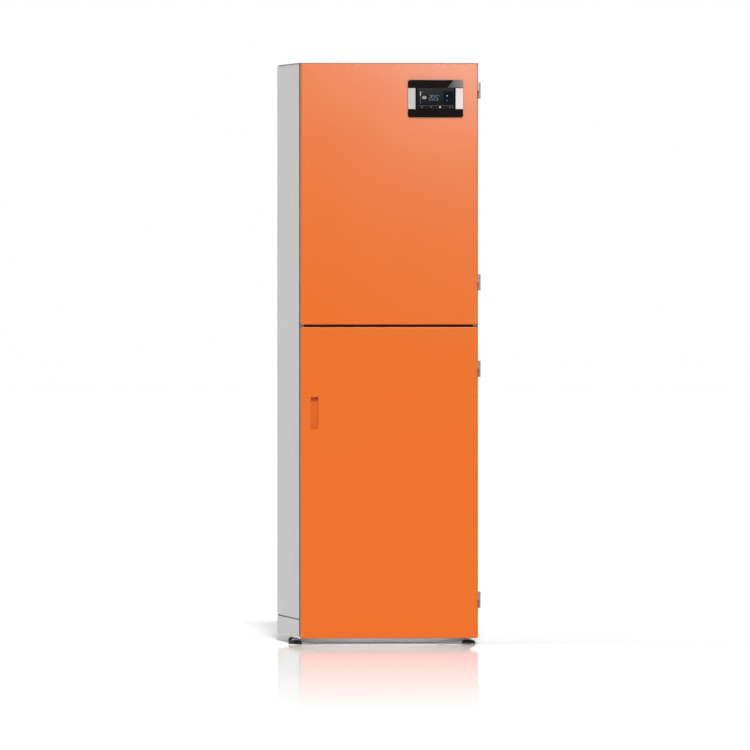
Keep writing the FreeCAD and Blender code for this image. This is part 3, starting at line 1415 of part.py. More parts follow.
# Flue and fan
def flue():
    ends = (f"{SMOKE_REAR} - 2 * smoke_wall", f"{SMOKE_REAR} + smoke_wall")
    box = cut(
        block(around("0", f"2 * {SMOKE_SIDE}"), (BOILER_REAR, SMOKE_REAR), (SMOKE_LOW, SMOKE_HIGH)),
        block(around("0", f"2 * ({SMOKE_SIDE} - smoke_wall)"),
              (f"{BOILER_REAR} + smoke_wall", f"{SMOKE_REAR} - smoke_wall"),
              (f"{SMOKE_LOW} + smoke_wall", f"{SMOKE_HIGH} - smoke_wall")),
        rod("y", ("0", PASSAGE_Z), (f"{BOILER_REAR} - smoke_wall", f"{BOILER_REAR} + 2 * smoke_wall"),
            "passage_radius"),
        rod("y", ("flue_side", FLUE_Z), ends, "flue_radius - flue_wall"),
        rod("y", ("-fan_side", FLUE_Z), ends, "2 * fan_shaft_radius"))
    keep(box, "smoke_box")

    inner = "flue_radius - flue_wall"
    flange = "flue_radius + flue_flange_width"
    reach = f"({FLUE_END} - {SMOKE_REAR})"
    collar = turned("flue_collar", "y", ("flue_side", SMOKE_REAR, FLUE_Z), [
        (inner, "0"), (flange, "0"), (flange, "flue_flange_thickness"),
        ("flue_radius", "flue_flange_thickness"), ("flue_radius", reach), (inner, reach)])
    keep(collar, "flue_collar")

    pitch = "((fan_motor_length - flue_flange_thickness) / (fan_motor_fins + 1))"
    bore = "fan_shaft_radius + fan_shaft_fit"
    motor = turned("flue_fan_motor", "y", ("-fan_side", SMOKE_REAR, FLUE_Z), [
        ("0", "fan_socket"), (bore, "fan_socket"), (bore, "0"), ("fan_motor_flange", "0"),
        ("fan_motor_flange", "flue_flange_thickness"), ("fan_motor_radius", "flue_flange_thickness"),
        *fins("fan_motor_radius", "fan_motor_fin_depth", "flue_flange_thickness", pitch, "fan_motor_fin",
              "fan_motor_fins"),
        ("fan_motor_radius", "fan_motor_length - fan_motor_fin"),
        ("fan_motor_radius - fan_motor_fin", "fan_motor_length"), ("0", "fan_motor_length")])
    keep(motor, "flue_fan_motor")

    fan = body("flue_fan_impeller")
    for name, text in zip("xyz", ("-fan_side", f"{SMOKE_REAR} - smoke_wall - fan_gap", FLUE_Z)):
        bind(fan, f"Placement.Base.{name}", text)
    disc = sketch(fan, "XZ", "0")
    circle(disc, "0", "0", "fan_radius")
    pad(fan, disc, "fan_disc", -1)
    hub = sketch(fan, "XZ", "0")
    circle(hub, "0", "0", "fan_hub")
    pad(fan, hub, "fan_depth", -1)
    shaft = sketch(fan, "XZ", "0")
    circle(shaft, "0", "0", "fan_shaft_radius")
    pad(fan, shaft, "fan_gap + smoke_wall + fan_socket - fan_disc")
    blade = sketch(fan, "XZ", "0")
    polygon(blade, [
        ("fan_hub", "-fan_hub"), ("fan_radius - fan_blade_wall", "0"),
        ("fan_radius - fan_blade_wall", "fan_blade_wall"), ("fan_hub", "fan_blade_wall - fan_hub")])
    ring_of(fan, pad(fan, blade, "fan_depth", -1), "Y_Axis", "fan_blades")
    keep(fan, "flue_fan_impeller")


# Water and drain
def water():
    pipes = []
    for height in (FLOW_Z, RETURN_Z):
        centre = (PIPE_X, height)
        span = (BOILER_REAR, f"{REAR} + pipe_reach")
        nut = hexagon("y", centre, (REAR, f"{REAR} + pipe_nut_length"), "pipe_nut_flats")
        pipes.append(cut(join(rod("y", centre, span, "pipe_radius"), nut),
                         rod("y", centre, span, "pipe_bore")))
    keep(group(*pipes), "water_pipes")

    centre = (DRAIN_X, DRAIN_Z)
    end = f"({DRAIN_BODY} + drain_body_length)"
    valve = cut(
        join(rod("y", centre, (BOILER_REAR, f"{end} + drain_nozzle"), "drain_radius"),
             rod("y", centre, (f"{DRAIN_BODY} + drain_hex", f"{end} - drain_hex"), "drain_body_size / 2"),
             hexagon("y", centre, (DRAIN_BODY, f"{DRAIN_BODY} + drain_hex"), "drain_hex_flats"),
             hexagon("y", centre, (f"{end} - drain_hex", end), "drain_hex_flats"),
             rod("z", (DRAIN_X, DRAIN_STEM_Y), (DRAIN_Z, f"{DRAIN_TOP} + drain_stem_height"),
                 "drain_stem_radius")),
        rod("y", centre, (BOILER_REAR, DRAIN_BODY), "drain_bore"),
        rod("y", centre, (end, f"{end} + drain_nozzle"), "drain_bore"))
    keep(valve, "drain_valve")

    span = (f"{DRAIN_TOP} + lever_play", f"{DRAIN_TOP} + lever_play + lever_thickness")
    start = (DRAIN_X, DRAIN_STEM_Y)
    lever = cut(
        join(rod("z", start, span, "lever_width / 2"),
             block((DRAIN_X, f"{DRAIN_X} + lever_length"), around(DRAIN_STEM_Y, "lever_width"), span),
             rod("z", (f"{DRAIN_X} + lever_length", DRAIN_STEM_Y), span, "lever_width / 2")),
        rod("z", start, span, "drain_stem_radius + drain_stem_fit"))
    keep(lever, "drain_lever")


# Rear electrics
def electrics():
    plate = body("connection_plate")
    outline = sketch(plate, "XZ", REAR_PANEL)
    rectangle(outline, around(PLATE_X, "plate_width"), around(PLATE_Z, "plate_height"))
    pad(plate, outline, "plate_thickness")
    round_edges(plate, "plate_thickness", runs("y"))
    round_edges(plate, "plate_edge", lies_at("y", PLATE_BACK))
    collar = sketch(plate, "XZ", PLATE_BACK)
    circle(collar, BUTTON_X, CONTROLS_Z, "button_collar")
    pad(plate, collar, "button_collar_height")
    holes = sketch(plate, "XZ", REAR_PANEL)
    rectangle(holes, around(SWITCH_X, "switch_width"), around(CONTROLS_Z, "switch_height"))
    circle(holes, BUTTON_X, CONTROLS_Z, "button_radius + button_fit")
    pocket(plate, holes, "plate_thickness + 2 * button_collar_height")
    reach = "(switch_width / 2 + switch_pivot_reach + switch_pivot_fit)"
    pivot = sketch(plate, "YZ", f"{SWITCH_X} - {reach}")
    circle(pivot, SWITCH_Y, CONTROLS_Z, "switch_pivot + switch_pivot_fit")
    pocket(plate, pivot, f"2 * {reach}")
    keep(plate, "connection_plate")

    rocker = body("main_switch")
    for name, text in zip("xyz", (SWITCH_X, SWITCH_Y, CONTROLS_Z)):
        bind(rocker, f"Placement.Base.{name}", text)
    rocker.Placement.Rotation = FreeCAD.Rotation(FreeCAD.Vector(1, 0, 0), -value("switch_tilt"))
    outline = sketch(rocker, "YZ", "switch_fit - switch_width / 2")
    half = "(switch_height / 2 - 4 * switch_fit)"
    face = "(plate_thickness / 2)"
    polygon(outline, [
        (f"{face} + switch_proud / 2", "0"), (f"{face} + switch_proud", half), (face, half),
        (f"{face} + switch_proud - switch_depth", "0"), (face, f"-{half}"),
        (f"{face} + switch_proud", f"-{half}")])
    pad(rocker, outline, "switch_width - 2 * switch_fit")
    pivot = sketch(rocker, "YZ", "-(switch_width / 2 + switch_pivot_reach)")
    circle(pivot, "0", "0", "switch_pivot")
    pad(rocker, pivot, "switch_width + 2 * switch_pivot_reach")
    keep(rocker, "main_switch")

    start = f"{PLATE_BACK} + button_proud - button_length"
    button = turned("reset_button", "y", (BUTTON_X, start, CONTROLS_Z), [
        ("0", "0"), ("button_radius", "0"), ("button_radius", "button_length"), ("0", "button_length")])
    round_edges(button, "button_edge", lies_at("y", "button_length"))
    keep(button, "reset_button")

    glands = []
    for index in range(int(value("gland_count"))):
        x = f"({PLATE_X} + ({index} - (gland_count - 1) / 2) * gland_pitch)"
        nut = hexagon("y", (x, GLAND_Z), (PLATE_BACK, f"{PLATE_BACK} + gland_nut"), "gland_flats")
        shoulder = "gland_nut + gland_height / 2"
        end = "gland_nut + gland_height"
        dome = turned("dome", "y", (x, PLATE_BACK, GLAND_Z), [
            ("0", "0"), ("gland_radius", "0"), ("gland_radius", shoulder), ("gland_neck", end),
            ("gland_bore", end), ("gland_bore", "gland_nut"), ("0", "gland_nut")])
        glands.append(join(nut, dome))
    keep(group(*glands), "cable_glands")


plinth()
feet()
casing()
rear_panel()
doors()
finger_pull()
controller()
hinges()
seals_and_catches()
hopper()
auger()
control_box()
boiler_block()
insulation()
ash_drawer()
fire_door()
burner()
flue()
water()
electrics()

doc.recompute()
for item in doc.Objects:
    if "Invalid" in item.State or "Error" in item.State:
        raise RuntimeError(f"{item.Label} failed: {item.State}")
for item in subparts:
    if item.Shape.isNull() or not item.Shape.isValid():
        raise RuntimeError(f"{item.Label} has no valid shape")

os.makedirs("parts", exist_ok=True)
for item in subparts:
    item.Shape.exportStep(f"parts/{item.Label}.step")
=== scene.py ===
"""Looks of the pellet boiler: finishes, small fittings, floor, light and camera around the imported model."""

import json
import math

import bmesh
import bpy
from mathutils import Matrix, Vector
from mathutils.bvhtree import BVHTree


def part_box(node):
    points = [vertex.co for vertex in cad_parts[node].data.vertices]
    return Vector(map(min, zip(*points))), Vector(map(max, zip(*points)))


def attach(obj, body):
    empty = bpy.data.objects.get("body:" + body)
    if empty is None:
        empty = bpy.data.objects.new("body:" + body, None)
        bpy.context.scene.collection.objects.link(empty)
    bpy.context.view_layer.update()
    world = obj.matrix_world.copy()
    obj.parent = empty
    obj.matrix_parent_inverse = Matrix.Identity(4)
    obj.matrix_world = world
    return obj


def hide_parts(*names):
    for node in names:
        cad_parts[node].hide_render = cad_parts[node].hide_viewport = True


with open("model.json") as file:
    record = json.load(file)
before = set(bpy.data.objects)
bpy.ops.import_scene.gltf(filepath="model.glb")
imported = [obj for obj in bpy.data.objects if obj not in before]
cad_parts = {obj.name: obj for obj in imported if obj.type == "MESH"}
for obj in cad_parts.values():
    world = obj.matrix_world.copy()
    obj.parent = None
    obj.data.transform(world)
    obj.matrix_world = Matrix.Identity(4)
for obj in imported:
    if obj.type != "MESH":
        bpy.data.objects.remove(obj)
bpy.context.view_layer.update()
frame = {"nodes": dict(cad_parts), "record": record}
NODES = frame["nodes"]
MM = 0.001

# Camera of the photograph
PHOTO_SIDE = 750
SENSOR_WIDTH = 36
FOCAL_PIXELS = 15000
VIEW_YAW = math.radians(6.36)
VIEW_PITCH = math.radians(0.481)
VIEW_DISTANCE = 50.139
VIEW_TARGET = Vector((-0.0055, 0, 0.8945))
VIEW_CLIP = 400

# Light
SKY_LEVEL = 0.48
# Each panel: where it is, how far round it starts and is full, as cosines, and how much light it adds
SKY_PANELS = (
    (Vector((0, -1, 0)), 0.35, 1.0, -0.42),
    (Vector((-0.85, -0.53, 0)), 0.3, 0.95, 0.31),
    (Vector((0, 1, 0)), 0.25, 0.9, 0.2),
    (Vector((0, 1, 0)), 0.9, 0.98, 0.5),
    (Vector((1, 0, 0)), 0.3, 0.9, -0.22),
)
SUN_LEVEL = 2.45
SUN_FROM = Vector((-0.072, -0.797, 0.6))
SUN_DISTANCE = 10
SUN_SOFTNESS = math.radians(5)
# A cool softbox whose reflection lightens the upper door
SOFTBOX_PLACE = Vector((1.0, -4.0, 2.56))
SOFTBOX_AIM = Vector((0.2, -0.38, 1.97))
SOFTBOX_WIDTH = 0.8
SOFTBOX_HEIGHT = 0.32
SOFTBOX_SPREAD = math.radians(50)
SOFTBOX_POWER = 10.0
SOFTBOX_COLOUR = (0.86, 0.97, 1.0)
# A low strip of light in front of the feet and the plinth
UNDER_FILL_PLACE = Vector((0, -0.3, 0.05))
UNDER_FILL_AIM = Vector((0, -0.126, 0.012))
UNDER_FILL_WIDTH = 0.5
UNDER_FILL_HEIGHT = 0.03
UNDER_FILL_POWER = 0.17

# Floor
FLOOR_FRONT = -62
FLOOR_REAR = 90
FLOOR_SIDE = 60
FLOOR_COLOUR = (0.98, 0.98, 0.98, 1)
FLOOR_ROUGHNESS = 0.9
# Light of its own that whitens the floor; it is left out under the part and close behind it, which paints a
# shadow there
FLOOR_GLOW = 0.1
FLOOR_GLOW_FRONT_FROM = 0.16
FLOOR_GLOW_FRONT_FULL = 0.04
FLOOR_GLOW_REAR_FROM = 0.7
FLOOR_GLOW_REAR_FULL = 1.6
FLOOR_GLOW_SIDE_FROM = 0.27
FLOOR_GLOW_SIDE_FULL = 0.36
# Mirror image in front of the part, which fades with the distance
FLOOR_SHEEN = 0.54
FLOOR_SHEEN_ROUGHNESS = 0.05
FLOOR_SHEEN_COLOUR = (1.1, 1.08, 1.0, 1)
FLOOR_SHEEN_FROM = -0.22
FLOOR_SHEEN_FULL = -0.34
FLOOR_SHEEN_TO = -7.6
# How flat the view along the floor has to be, as one less its cosine, for the sheen to start and be full
FLOOR_SHEEN_SLANT = 0.88
FLOOR_SHEEN_FLAT = 0.96


def srgb(red, green, blue):
    """A colour given in display levels of 0 to 255, as the linear colour that shaders use."""
    def linear(level):
        share = level / 255
        if share <= 0.04045:
            return share / 12.92
        return ((share + 0.055) / 1.055) ** 2.4
    return (linear(red), linear(green), linear(blue), 1.0)


class Finish:
    """A material whose patterns lie in the piece's own frame, with their sizes in metres."""

    def __init__(self, name, colour, roughness, metallic=0.0):
        self.material = bpy.data.materials.new(name)
        self.material.use_nodes = True
        self.tree = self.material.node_tree
        self.shader = self.tree.nodes["Principled BSDF"]
        self.set(Base_Color=colour, Roughness=roughness, Metallic=metallic)
        self.place = self.node("TexCoord").outputs["Object"]
        self.height = None

    def node(self, kind):
        return self.tree.nodes.new("ShaderNode" + kind)

    def link(self, source, target):
        self.tree.links.new(source, target)

    def set(self, **sockets):
        """Sets the shader's own sockets by name, with _ for a space."""
        for name, level in sockets.items():
            self.shader.inputs[name.replace("_", " ")].default_value = level
        return self

    def stretched(self, stretch):
        mapping = self.node("Mapping")
        mapping.inputs["Scale"].default_value = stretch
        self.link(self.place, mapping.inputs["Vector"])
        return mapping.outputs["Vector"]

    def noise(self, size, detail=2.0, stretch=(1, 1, 1)):
        pattern = self.node("TexNoise")
        pattern.inputs["Scale"].default_value = 1 / size
        pattern.inputs["Detail"].default_value = detail
        self.link(self.stretched(stretch), pattern.inputs["Vector"])
        return pattern.outputs["Fac"]

    def crystals(self, size):
        """Flat cells of random grey, as on hot-dip zinc."""
        pattern = self.node("TexVoronoi")
        pattern.inputs["Scale"].default_value = 1 / size
        self.link(self.place, pattern.inputs["Vector"])
        grey = self.node("RGBToBW")
        self.link(pattern.outputs["Color"], grey.inputs["Color"])
        return grey.outputs["Val"]

    def axis(self, letter):
        parts = self.node("SeparateXYZ")
        self.link(self.place, parts.inputs["Vector"])
        return parts.outputs[letter]

    def between(self, pattern, low, high, start=0.3, end=0.7):
        """The pattern's levels from start to end, as levels from low to high."""
        span = self.node("MapRange")
        span.inputs["From Min"].default_value = start
        span.inputs["From Max"].default_value = end
        span.inputs["To Min"].default_value = low
        span.inputs["To Max"].default_value = high
        self.link(pattern, span.inputs["Value"])
        return span.outputs["Result"]

    def combine(self, how, first, second):
        """Two levels made into one by a math operation."""
        result = self.node("Math")
        result.operation = how
        self.link(first, result.inputs[0])
        self.link(second, result.inputs[1])
        return result.outputs["Value"]

    def tint(self, pattern, dark, light, start=0.3, end=0.7):
        """Lets the colour wander between two tones with the pattern."""
        ramp = self.node("ValToRGB")
        ramp.color_ramp.elements[0].position = start
        ramp.color_ramp.elements[0].color = dark
        ramp.color_ramp.elements[1].position = end
        ramp.color_ramp.elements[1].color = light
        self.link(pattern, ramp.inputs["Fac"])
        self.link(ramp.outputs["Color"], self.shader.inputs["Base Color"])
        return self

    def polish(self, pattern, low, high):
        """Lets the roughness wander between two levels with the pattern."""
        self.link(self.between(pattern, low, high), self.shader.inputs["Roughness"])
        return self

    def relief(self, pattern, depth):
        """Raises the surface with the pattern, on top of any relief it has."""
        bump = self.node("Bump")
        bump.inputs["Distance"].default_value = depth
        self.link(pattern, bump.inputs["Height"])
        if self.height is not None:
            self.link(self.height, bump.inputs["Normal"])
        self.height = bump.outputs["Normal"]
        self.link(self.height, self.shader.inputs["Normal"])
        return self


def shade(colour, factor):
    return tuple(level * factor for level in colour[:3]) + (1.0,)


def powder_coat(name, colour, roughness, peel, depth):
    """Baked powder paint: an even colour with a fine orange-peel skin."""
    drift = 0.015
    finish = Finish(name, colour, roughness)
    finish.tint(finish.noise(size=0.5, detail=1), shade(colour, 1 - drift), shade(colour, 1 + drift))
    finish.polish(finish.noise(size=0.35, detail=1), roughness - drift, roughness + drift)
    finish.relief(finish.noise(peel, detail=1), depth)
    return finish


def orange_paint():
    colour = (0.668, 0.124, 0.003, 1)
    finish = powder_coat("orange_paint", colour, roughness=0.293, peel=0.0024, depth=0.000012)
    return finish.set(Specular_IOR_Level=0.42, Specular_Tint=(0.45, 0.93, 1.0, 1))


def grey_paint():
    return powder_coat("grey_paint", (0.56, 0.56, 0.56, 1), roughness=0.55, peel=0.0011, depth=0.00005)


def zinc_sheet():
    finish = Finish("zinc_sheet", (0.52, 0.54, 0.56, 1), roughness=0.45, metallic=0.9)
    spangle = finish.crystals(size=0.011)
    finish.tint(spangle, (0.40, 0.42, 0.44, 1), (0.62, 0.64, 0.66, 1), start=0.1, end=0.9)
    finish.polish(spangle, low=0.34, high=0.52)
    finish.relief(finish.noise(size=0.03, detail=3), depth=0.0001)
    return finish


def brushed_metal(name, dark, light, grain, roughness, metallic=1.0):
    """Metal drawn or brushed along one axis, given by the grain's stretch."""
    finish = Finish(name, light, roughness, metallic)
    lines = finish.noise(size=0.004, detail=4, stretch=grain)
    finish.tint(lines, dark, light)
    finish.polish(lines, low=roughness - 0.06, high=roughness + 0.08)
    finish.relief(lines, depth=0.00003)
    return finish


def hinge_steel():
    dark = (0.225, 0.178, 0.158, 1)
    light = (0.335, 0.268, 0.238, 1)
    return brushed_metal("hinge_steel", dark, light, grain=(1, 1, 0.06), roughness=0.5, metallic=0.25)


def stainless():
    dark = (0.50, 0.50, 0.49, 1)
    light = (0.66, 0.66, 0.64, 1)
    return brushed_metal("stainless", dark, light, grain=(1, 0.08, 1), roughness=0.28)


def brass_fitting():
    dark = (0.52, 0.34, 0.11, 1)
    light = (0.74, 0.53, 0.21, 1)
    return brushed_metal("brass_fitting", dark, light, grain=(1, 0.3, 1), roughness=0.3)


def moulded(name, colour, roughness, grain, depth):
    """Moulded plastic with an even fine grain and slight handling marks."""
    finish = Finish(name, colour, roughness)
    finish.tint(finish.noise(size=0.05, detail=4), shade(colour, 0.88), shade(colour, 1.1))
    finish.polish(finish.noise(size=0.03, detail=4), low=roughness - 0.06, high=roughness + 0.08)
    finish.relief(finish.noise(grain, detail=1), depth)
    return finish


def black_plastic():
    return moulded("black_plastic", (0.016, 0.016, 0.017, 1), roughness=0.45, grain=0.0009, depth=0.00006)


def foot_black():
    return moulded("foot_black", (0.010, 0.010, 0.011, 1), roughness=0.42, grain=0.0012, depth=0.00005)


def silver_plastic():
    """Satin silver with painted shade: darker on the left grip, a little brighter on the grip at the hinge
    side.
    """
    finish = moulded("silver_plastic", (0.6, 0.59, 0.58, 1), roughness=0.42, grain=0.0008, depth=0.00003)
    low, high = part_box("display_grips")
    # Painted shade and light: the colour runs from dark at the left grip to light at the right one, as the
    # grips are lit
    across = finish.between(finish.axis("X"), 0, 1, low.x, high.x)
    finish.tint(across, (0.36, 0.35, 0.335, 1), (0.55, 0.49, 0.475, 1), start=0, end=1)
    return finish


def red_plastic():
    return moulded("red_plastic", (0.50, 0.016, 0.012, 1), roughness=0.34, grain=0.0015, depth=0.00003)


def dark_edge_and_gap_shade():
    """Warm grey strip: a dark edging round the top, and painted shade in the gaps beside the doors and in the
    seam above the plinth.
    """
    return moulded("dark_edge_and_gap_shade", (0.10, 0.082, 0.072, 1), roughness=0.6, grain=0.0015, depth=0.0001).material


def seal_rubber():
    return moulded("seal_rubber", (0.014, 0.014, 0.014, 1), roughness=0.72, grain=0.0022, depth=0.00025)


def display_gloss():
    """Gloss black, with a grey corner field above a slanted edge at the upper right."""
    black = (0.0062, 0.0045, 0.0036, 1)
    finish = Finish("display_gloss", black, roughness=0.12)
    low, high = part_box("display_housing")
    middle = (low + high) / 2
    field_foot = middle + Vector((0.0396, 0, 0.0368))
    field_lean = 0.85
    field_faint = 0.25
    edge = 0.0006
    slant = finish.node("Math")
    slant.operation = "MULTIPLY_ADD"
    slant.inputs[1].default_value = -field_lean
    finish.link(finish.axis("Z"), slant.inputs[0])
    finish.link(finish.axis("X"), slant.inputs[2])
    start = field_foot.x - field_lean * field_foot.z
    right_of = finish.between(slant.outputs["Value"], 0, 1, start - edge, start + edge)
    above = finish.between(finish.axis("Z"), 0, 1, field_foot.z - edge, field_foot.z + edge)
    glow = finish.between(finish.axis("X"), field_faint, 1, field_foot.x, high.x)
    field = finish.combine("MULTIPLY", finish.combine("MULTIPLY", right_of, above), glow)
    finish.tint(field, black, (0.21, 0.20, 0.19, 1), start=0, end=1)
    finish.relief(finish.noise(size=0.02, detail=1), depth=0.00002)
    return finish.set(Specular_IOR_Level=0.1)


def display_glass():
    """A dark screen, a little lighter towards its top."""
    finish = Finish("display_glass", (0.003, 0.004, 0.005, 1), roughness=0.08)
    low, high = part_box("display_glass")
    rise = finish.between(finish.axis("Z"), 0, 1, low.z, high.z)
    finish.tint(rise, (0.004, 0.0045, 0.005, 1), (0.024, 0.0245, 0.027, 1), start=0, end=1)
    finish.relief(finish.noise(size=0.03, detail=1), depth=0.00001)
    return finish.set(Specular_IOR_Level=0.15)


def oven_paint(name, colour, roughness, lump, depth):
    """Heat-resistant paint on plate, with dusty patches and a lumpy skin."""
    finish = Finish(name, colour, roughness)
    finish.tint(finish.noise(size=0.12, detail=6), shade(colour, 0.7), shade(colour, 1.35))
    finish.polish(finish.noise(size=0.06, detail=5), low=roughness - 0.1, high=roughness + 0.12)
    finish.relief(finish.noise(lump, detail=2), depth)
    return finish


def boiler_steel():
    return oven_paint("boiler_steel", (0.030, 0.032, 0.035, 1), roughness=0.5, lump=0.003, depth=0.00012)


def burner_paint():
    return oven_paint("burner_paint", (0.12, 0.125, 0.13, 1), roughness=0.36, lump=0.006, depth=0.0004)


def motor_black():
    return oven_paint("motor_black", (0.012, 0.012, 0.014, 1), roughness=0.42, lump=0.002, depth=0.0001)


def mineral_wool():
    finish = Finish("mineral_wool", (0.50, 0.46, 0.34, 1), roughness=0.95)
    fibres = finish.noise(size=0.006, detail=8, stretch=(1, 1, 0.35))
    finish.tint(fibres, (0.30, 0.26, 0.17, 1), (0.60, 0.56, 0.44, 1))
    finish.relief(fibres, depth=0.003)
    finish.relief(finish.noise(size=0.05, detail=3), depth=0.004)
    return finish


FINISHES = {
    make.__name__: make().material
    for make in (
        orange_paint,
        grey_paint,
        zinc_sheet,
        hinge_steel,
        seal_rubber,
        display_gloss,
        display_glass,
        silver_plastic,
        black_plastic,
        foot_black,
        boiler_steel,
        burner_paint,
        stainless,
        mineral_wool,
        motor_black,
        brass_fitting,
        red_plastic,
    )
}


def dress_nodes():
    """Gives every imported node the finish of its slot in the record."""
    for part in frame["record"]["subparts"]:
        mesh = NODES[part["node"]].data
        mesh.materials.clear()
        mesh.materials.append(FINISHES[part["material_slot"]])


def new_piece(name, shape, finish, body):
    """A mesh piece from a bmesh shape, with a finish, riding on a body."""
    mesh = bpy.data.meshes.new(name)
    bmesh.ops.recalc_face_normals(shape, faces=shape.faces)
    shape.to_mesh(mesh)
    shape.free()
    mesh.materials.append(finish)
    piece = bpy.data.objects.new(name, mesh)
    bpy.context.collection.objects.link(piece)
    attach(piece, body)
    return piece


def raised(shape, outline, front, back):
    """Adds a thin plate to a shape: an outline of x and z, from its front to its back in y."""
    near = [shape.verts.new((x, front, z)) for x, z in outline]
    far = [shape.verts.new((x, back, z)) for x, z in outline]
    shape.faces.new(near)
    shape.faces.new(far[::-1])
    for step in range(len(outline)):
        after = (step + 1) % len(outline)
        shape.faces.new((near[after], near[step], far[step], far[after]))


def oblong(left, right, bottom, top, corner=0.0008):
    """The outline of a rectangle with cut corners."""
    return (
        (left + corner, bottom),
        (right - corner, bottom),
        (right, bottom + corner),
        (right, top - corner),
        (right - corner, top),
        (left + corner, top),
        (left, top - corner),
        (left, bottom + corner),
    )


def disc(x, z, radius, squash=1.0, points=24):
    turns = [2 * math.pi * step / points for step in range(points)]
    return tuple((x + radius * math.cos(turn), z + squash * radius * math.sin(turn)) for turn in turns)


def arrow(x, z, width, rise):
    """A triangle with its base at a height and its tip a rise away from it."""
    return ((x - width / 2, z), (x + width / 2, z), (x, z + rise))


def bar(x, z, length, width, upright):
    """One stroke of a figure, pointed at both ends."""
    half = length / 2
    tip = width / 2
    flat = half - tip
    lying = ((-half, 0), (-flat, -tip), (flat, -tip), (half, 0), (flat, tip), (-flat, tip))
    if upright:
        return tuple((x + b, z + a) for a, b in lying)
    return tuple((x + a, z + b) for a, b in lying)


def figure(digit, left, bottom, height, stroke):
    """The strokes of a digit in the seven-stroke style."""
    lit = {"0": "tlrLRb", "2": "trmLb", "5": "tlmRb"}[digit]
    slimness = 0.42
    gap = stroke * 0.2
    width = height * slimness
    run = height / 2 - gap
    across = width - gap
    middle_x = left + width / 2
    right = left + width
    quarter = height / 4
    strokes = {
        "t": bar(middle_x, bottom + height, across, stroke, upright=False),
        "m": bar(middle_x, bottom + height / 2, across, stroke, upright=False),
        "b": bar(middle_x, bottom, across, stroke, upright=False),
        "l": bar(left, bottom + 3 * quarter, run, stroke, upright=True),
        "r": bar(right, bottom + 3 * quarter, run, stroke, upright=True),
        "L": bar(left, bottom + quarter, run, stroke, upright=True),
        "R": bar(right, bottom + quarter, run, stroke, upright=True),
    }
    return [strokes[name] for name in lit]


def lit_ink(name, colour):
    """A lit area of the screen that shows about its own colour, with the faint rows of its cells."""
    finish = Finish(name, shade(colour, 0.3), roughness=0.3)
    rows = finish.noise(size=0.0006, detail=0, stretch=(0.02, 0.02, 1))
    finish.tint(rows, shade(colour, 0.2), shade(colour, 0.35))
    finish.set(Emission_Color=colour, Emission_Strength=0.65, Specular_IOR_Level=0.0)
    return finish.material


def add_screen_marks():
    """What the controller shows: a level bar, a temperature, two arrows and a row of menu marks.

    Places are in metres from the middle of the screen, colours in display levels. An oblong is given by
    its left, right, bottom and top, a disc by its middle and radius, an arrow by its base, width and rise.
    """
    glass_low, glass_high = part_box("display_glass")
    middle = (glass_low + glass_high) / 2
    glass = glass_low.y
    field_rise = 0.15 * MM
    mark_rise = 0.28 * MM
    sink = 0.1 * MM
    field_front = glass - field_rise
    mark_front = glass - mark_rise
    sunk = glass + sink

    def placed(outline):
        return [(middle.x + x, middle.z + z) for x, z in outline]

    def show(name, outlines, front, colour):
        shape = bmesh.new()
        for outline in outlines:
            raised(shape, placed(outline), front, sunk)
        new_piece(name, shape, lit_ink(name, colour), "upper_door")

    show("screen_side_field", [oblong(0.026, 0.0585, -0.0185, 0.0243)], field_front, srgb(13, 29, 33))
    show("screen_menu_field", [oblong(-0.059, 0.059, -0.0338, -0.0215)], field_front, srgb(36, 35, 34))
    show("screen_menu_line", [oblong(-0.059, 0.059, -0.0240, -0.0222)], mark_front, srgb(84, 82, 79))
    show("screen_title_bar", [oblong(-0.0548, -0.0100, 0.0300, 0.0334)], mark_front, srgb(62, 60, 58))
    show("screen_level_full", [oblong(-0.0516, -0.0490, 0.0095, 0.0240)], mark_front, srgb(205, 212, 215))
    show("screen_level_rest", [oblong(-0.0516, -0.0490, -0.0184, 0.0093)], mark_front, srgb(48, 92, 114))
    show("screen_sun_mark", [disc(-0.0376, 0.0035, 0.0076, squash=0.7)], mark_front, srgb(172, 154, 128))
    show("screen_flame_mark", [arrow(-0.0422, 0.0195, 0.0040, 0.0050)], mark_front, srgb(100, 104, 106))
    figures = []
    height = 0.0162
    stroke = 0.0018
    pitch = 0.0095
    left = -0.0213
    bottom = -0.0049
    point_gap = 0.0027
    for digit, start in (("2", left), ("0", left + pitch), ("5", left + 2 * pitch + point_gap)):
        figures += figure(digit, start, bottom, height, stroke)
    decimal_point = disc(left + 2 * pitch, bottom, stroke * 0.6)
    degree_mark = disc(0.0110, 0.0095, 0.0017)
    figures += [decimal_point, degree_mark]
    show("screen_temperature", figures, mark_front, srgb(100, 136, 153))
    show("screen_up_arrow", [arrow(0.038, 0.0085, 0.0056, 0.0040)], mark_front, srgb(226, 232, 234))
    show("screen_down_arrow", [arrow(0.038, -0.0050, 0.0056, -0.0040)], mark_front, srgb(112, 124, 128))
    menu_z = -0.0283
    menu_mark = 0.0022
    dim_marks = [disc(x, menu_z, menu_mark, points=8) for x in (-0.0449, -0.0145, 0.0475, 0.0572)]
    show("screen_menu_marks", dim_marks, mark_front, srgb(118, 116, 114))
    home = [oblong(0.0127, 0.0171, menu_z - menu_mark, menu_z), arrow(0.0149, menu_z, 0.0062, 0.0034)]
    show("screen_home_mark", home, mark_front, srgb(236, 236, 236))


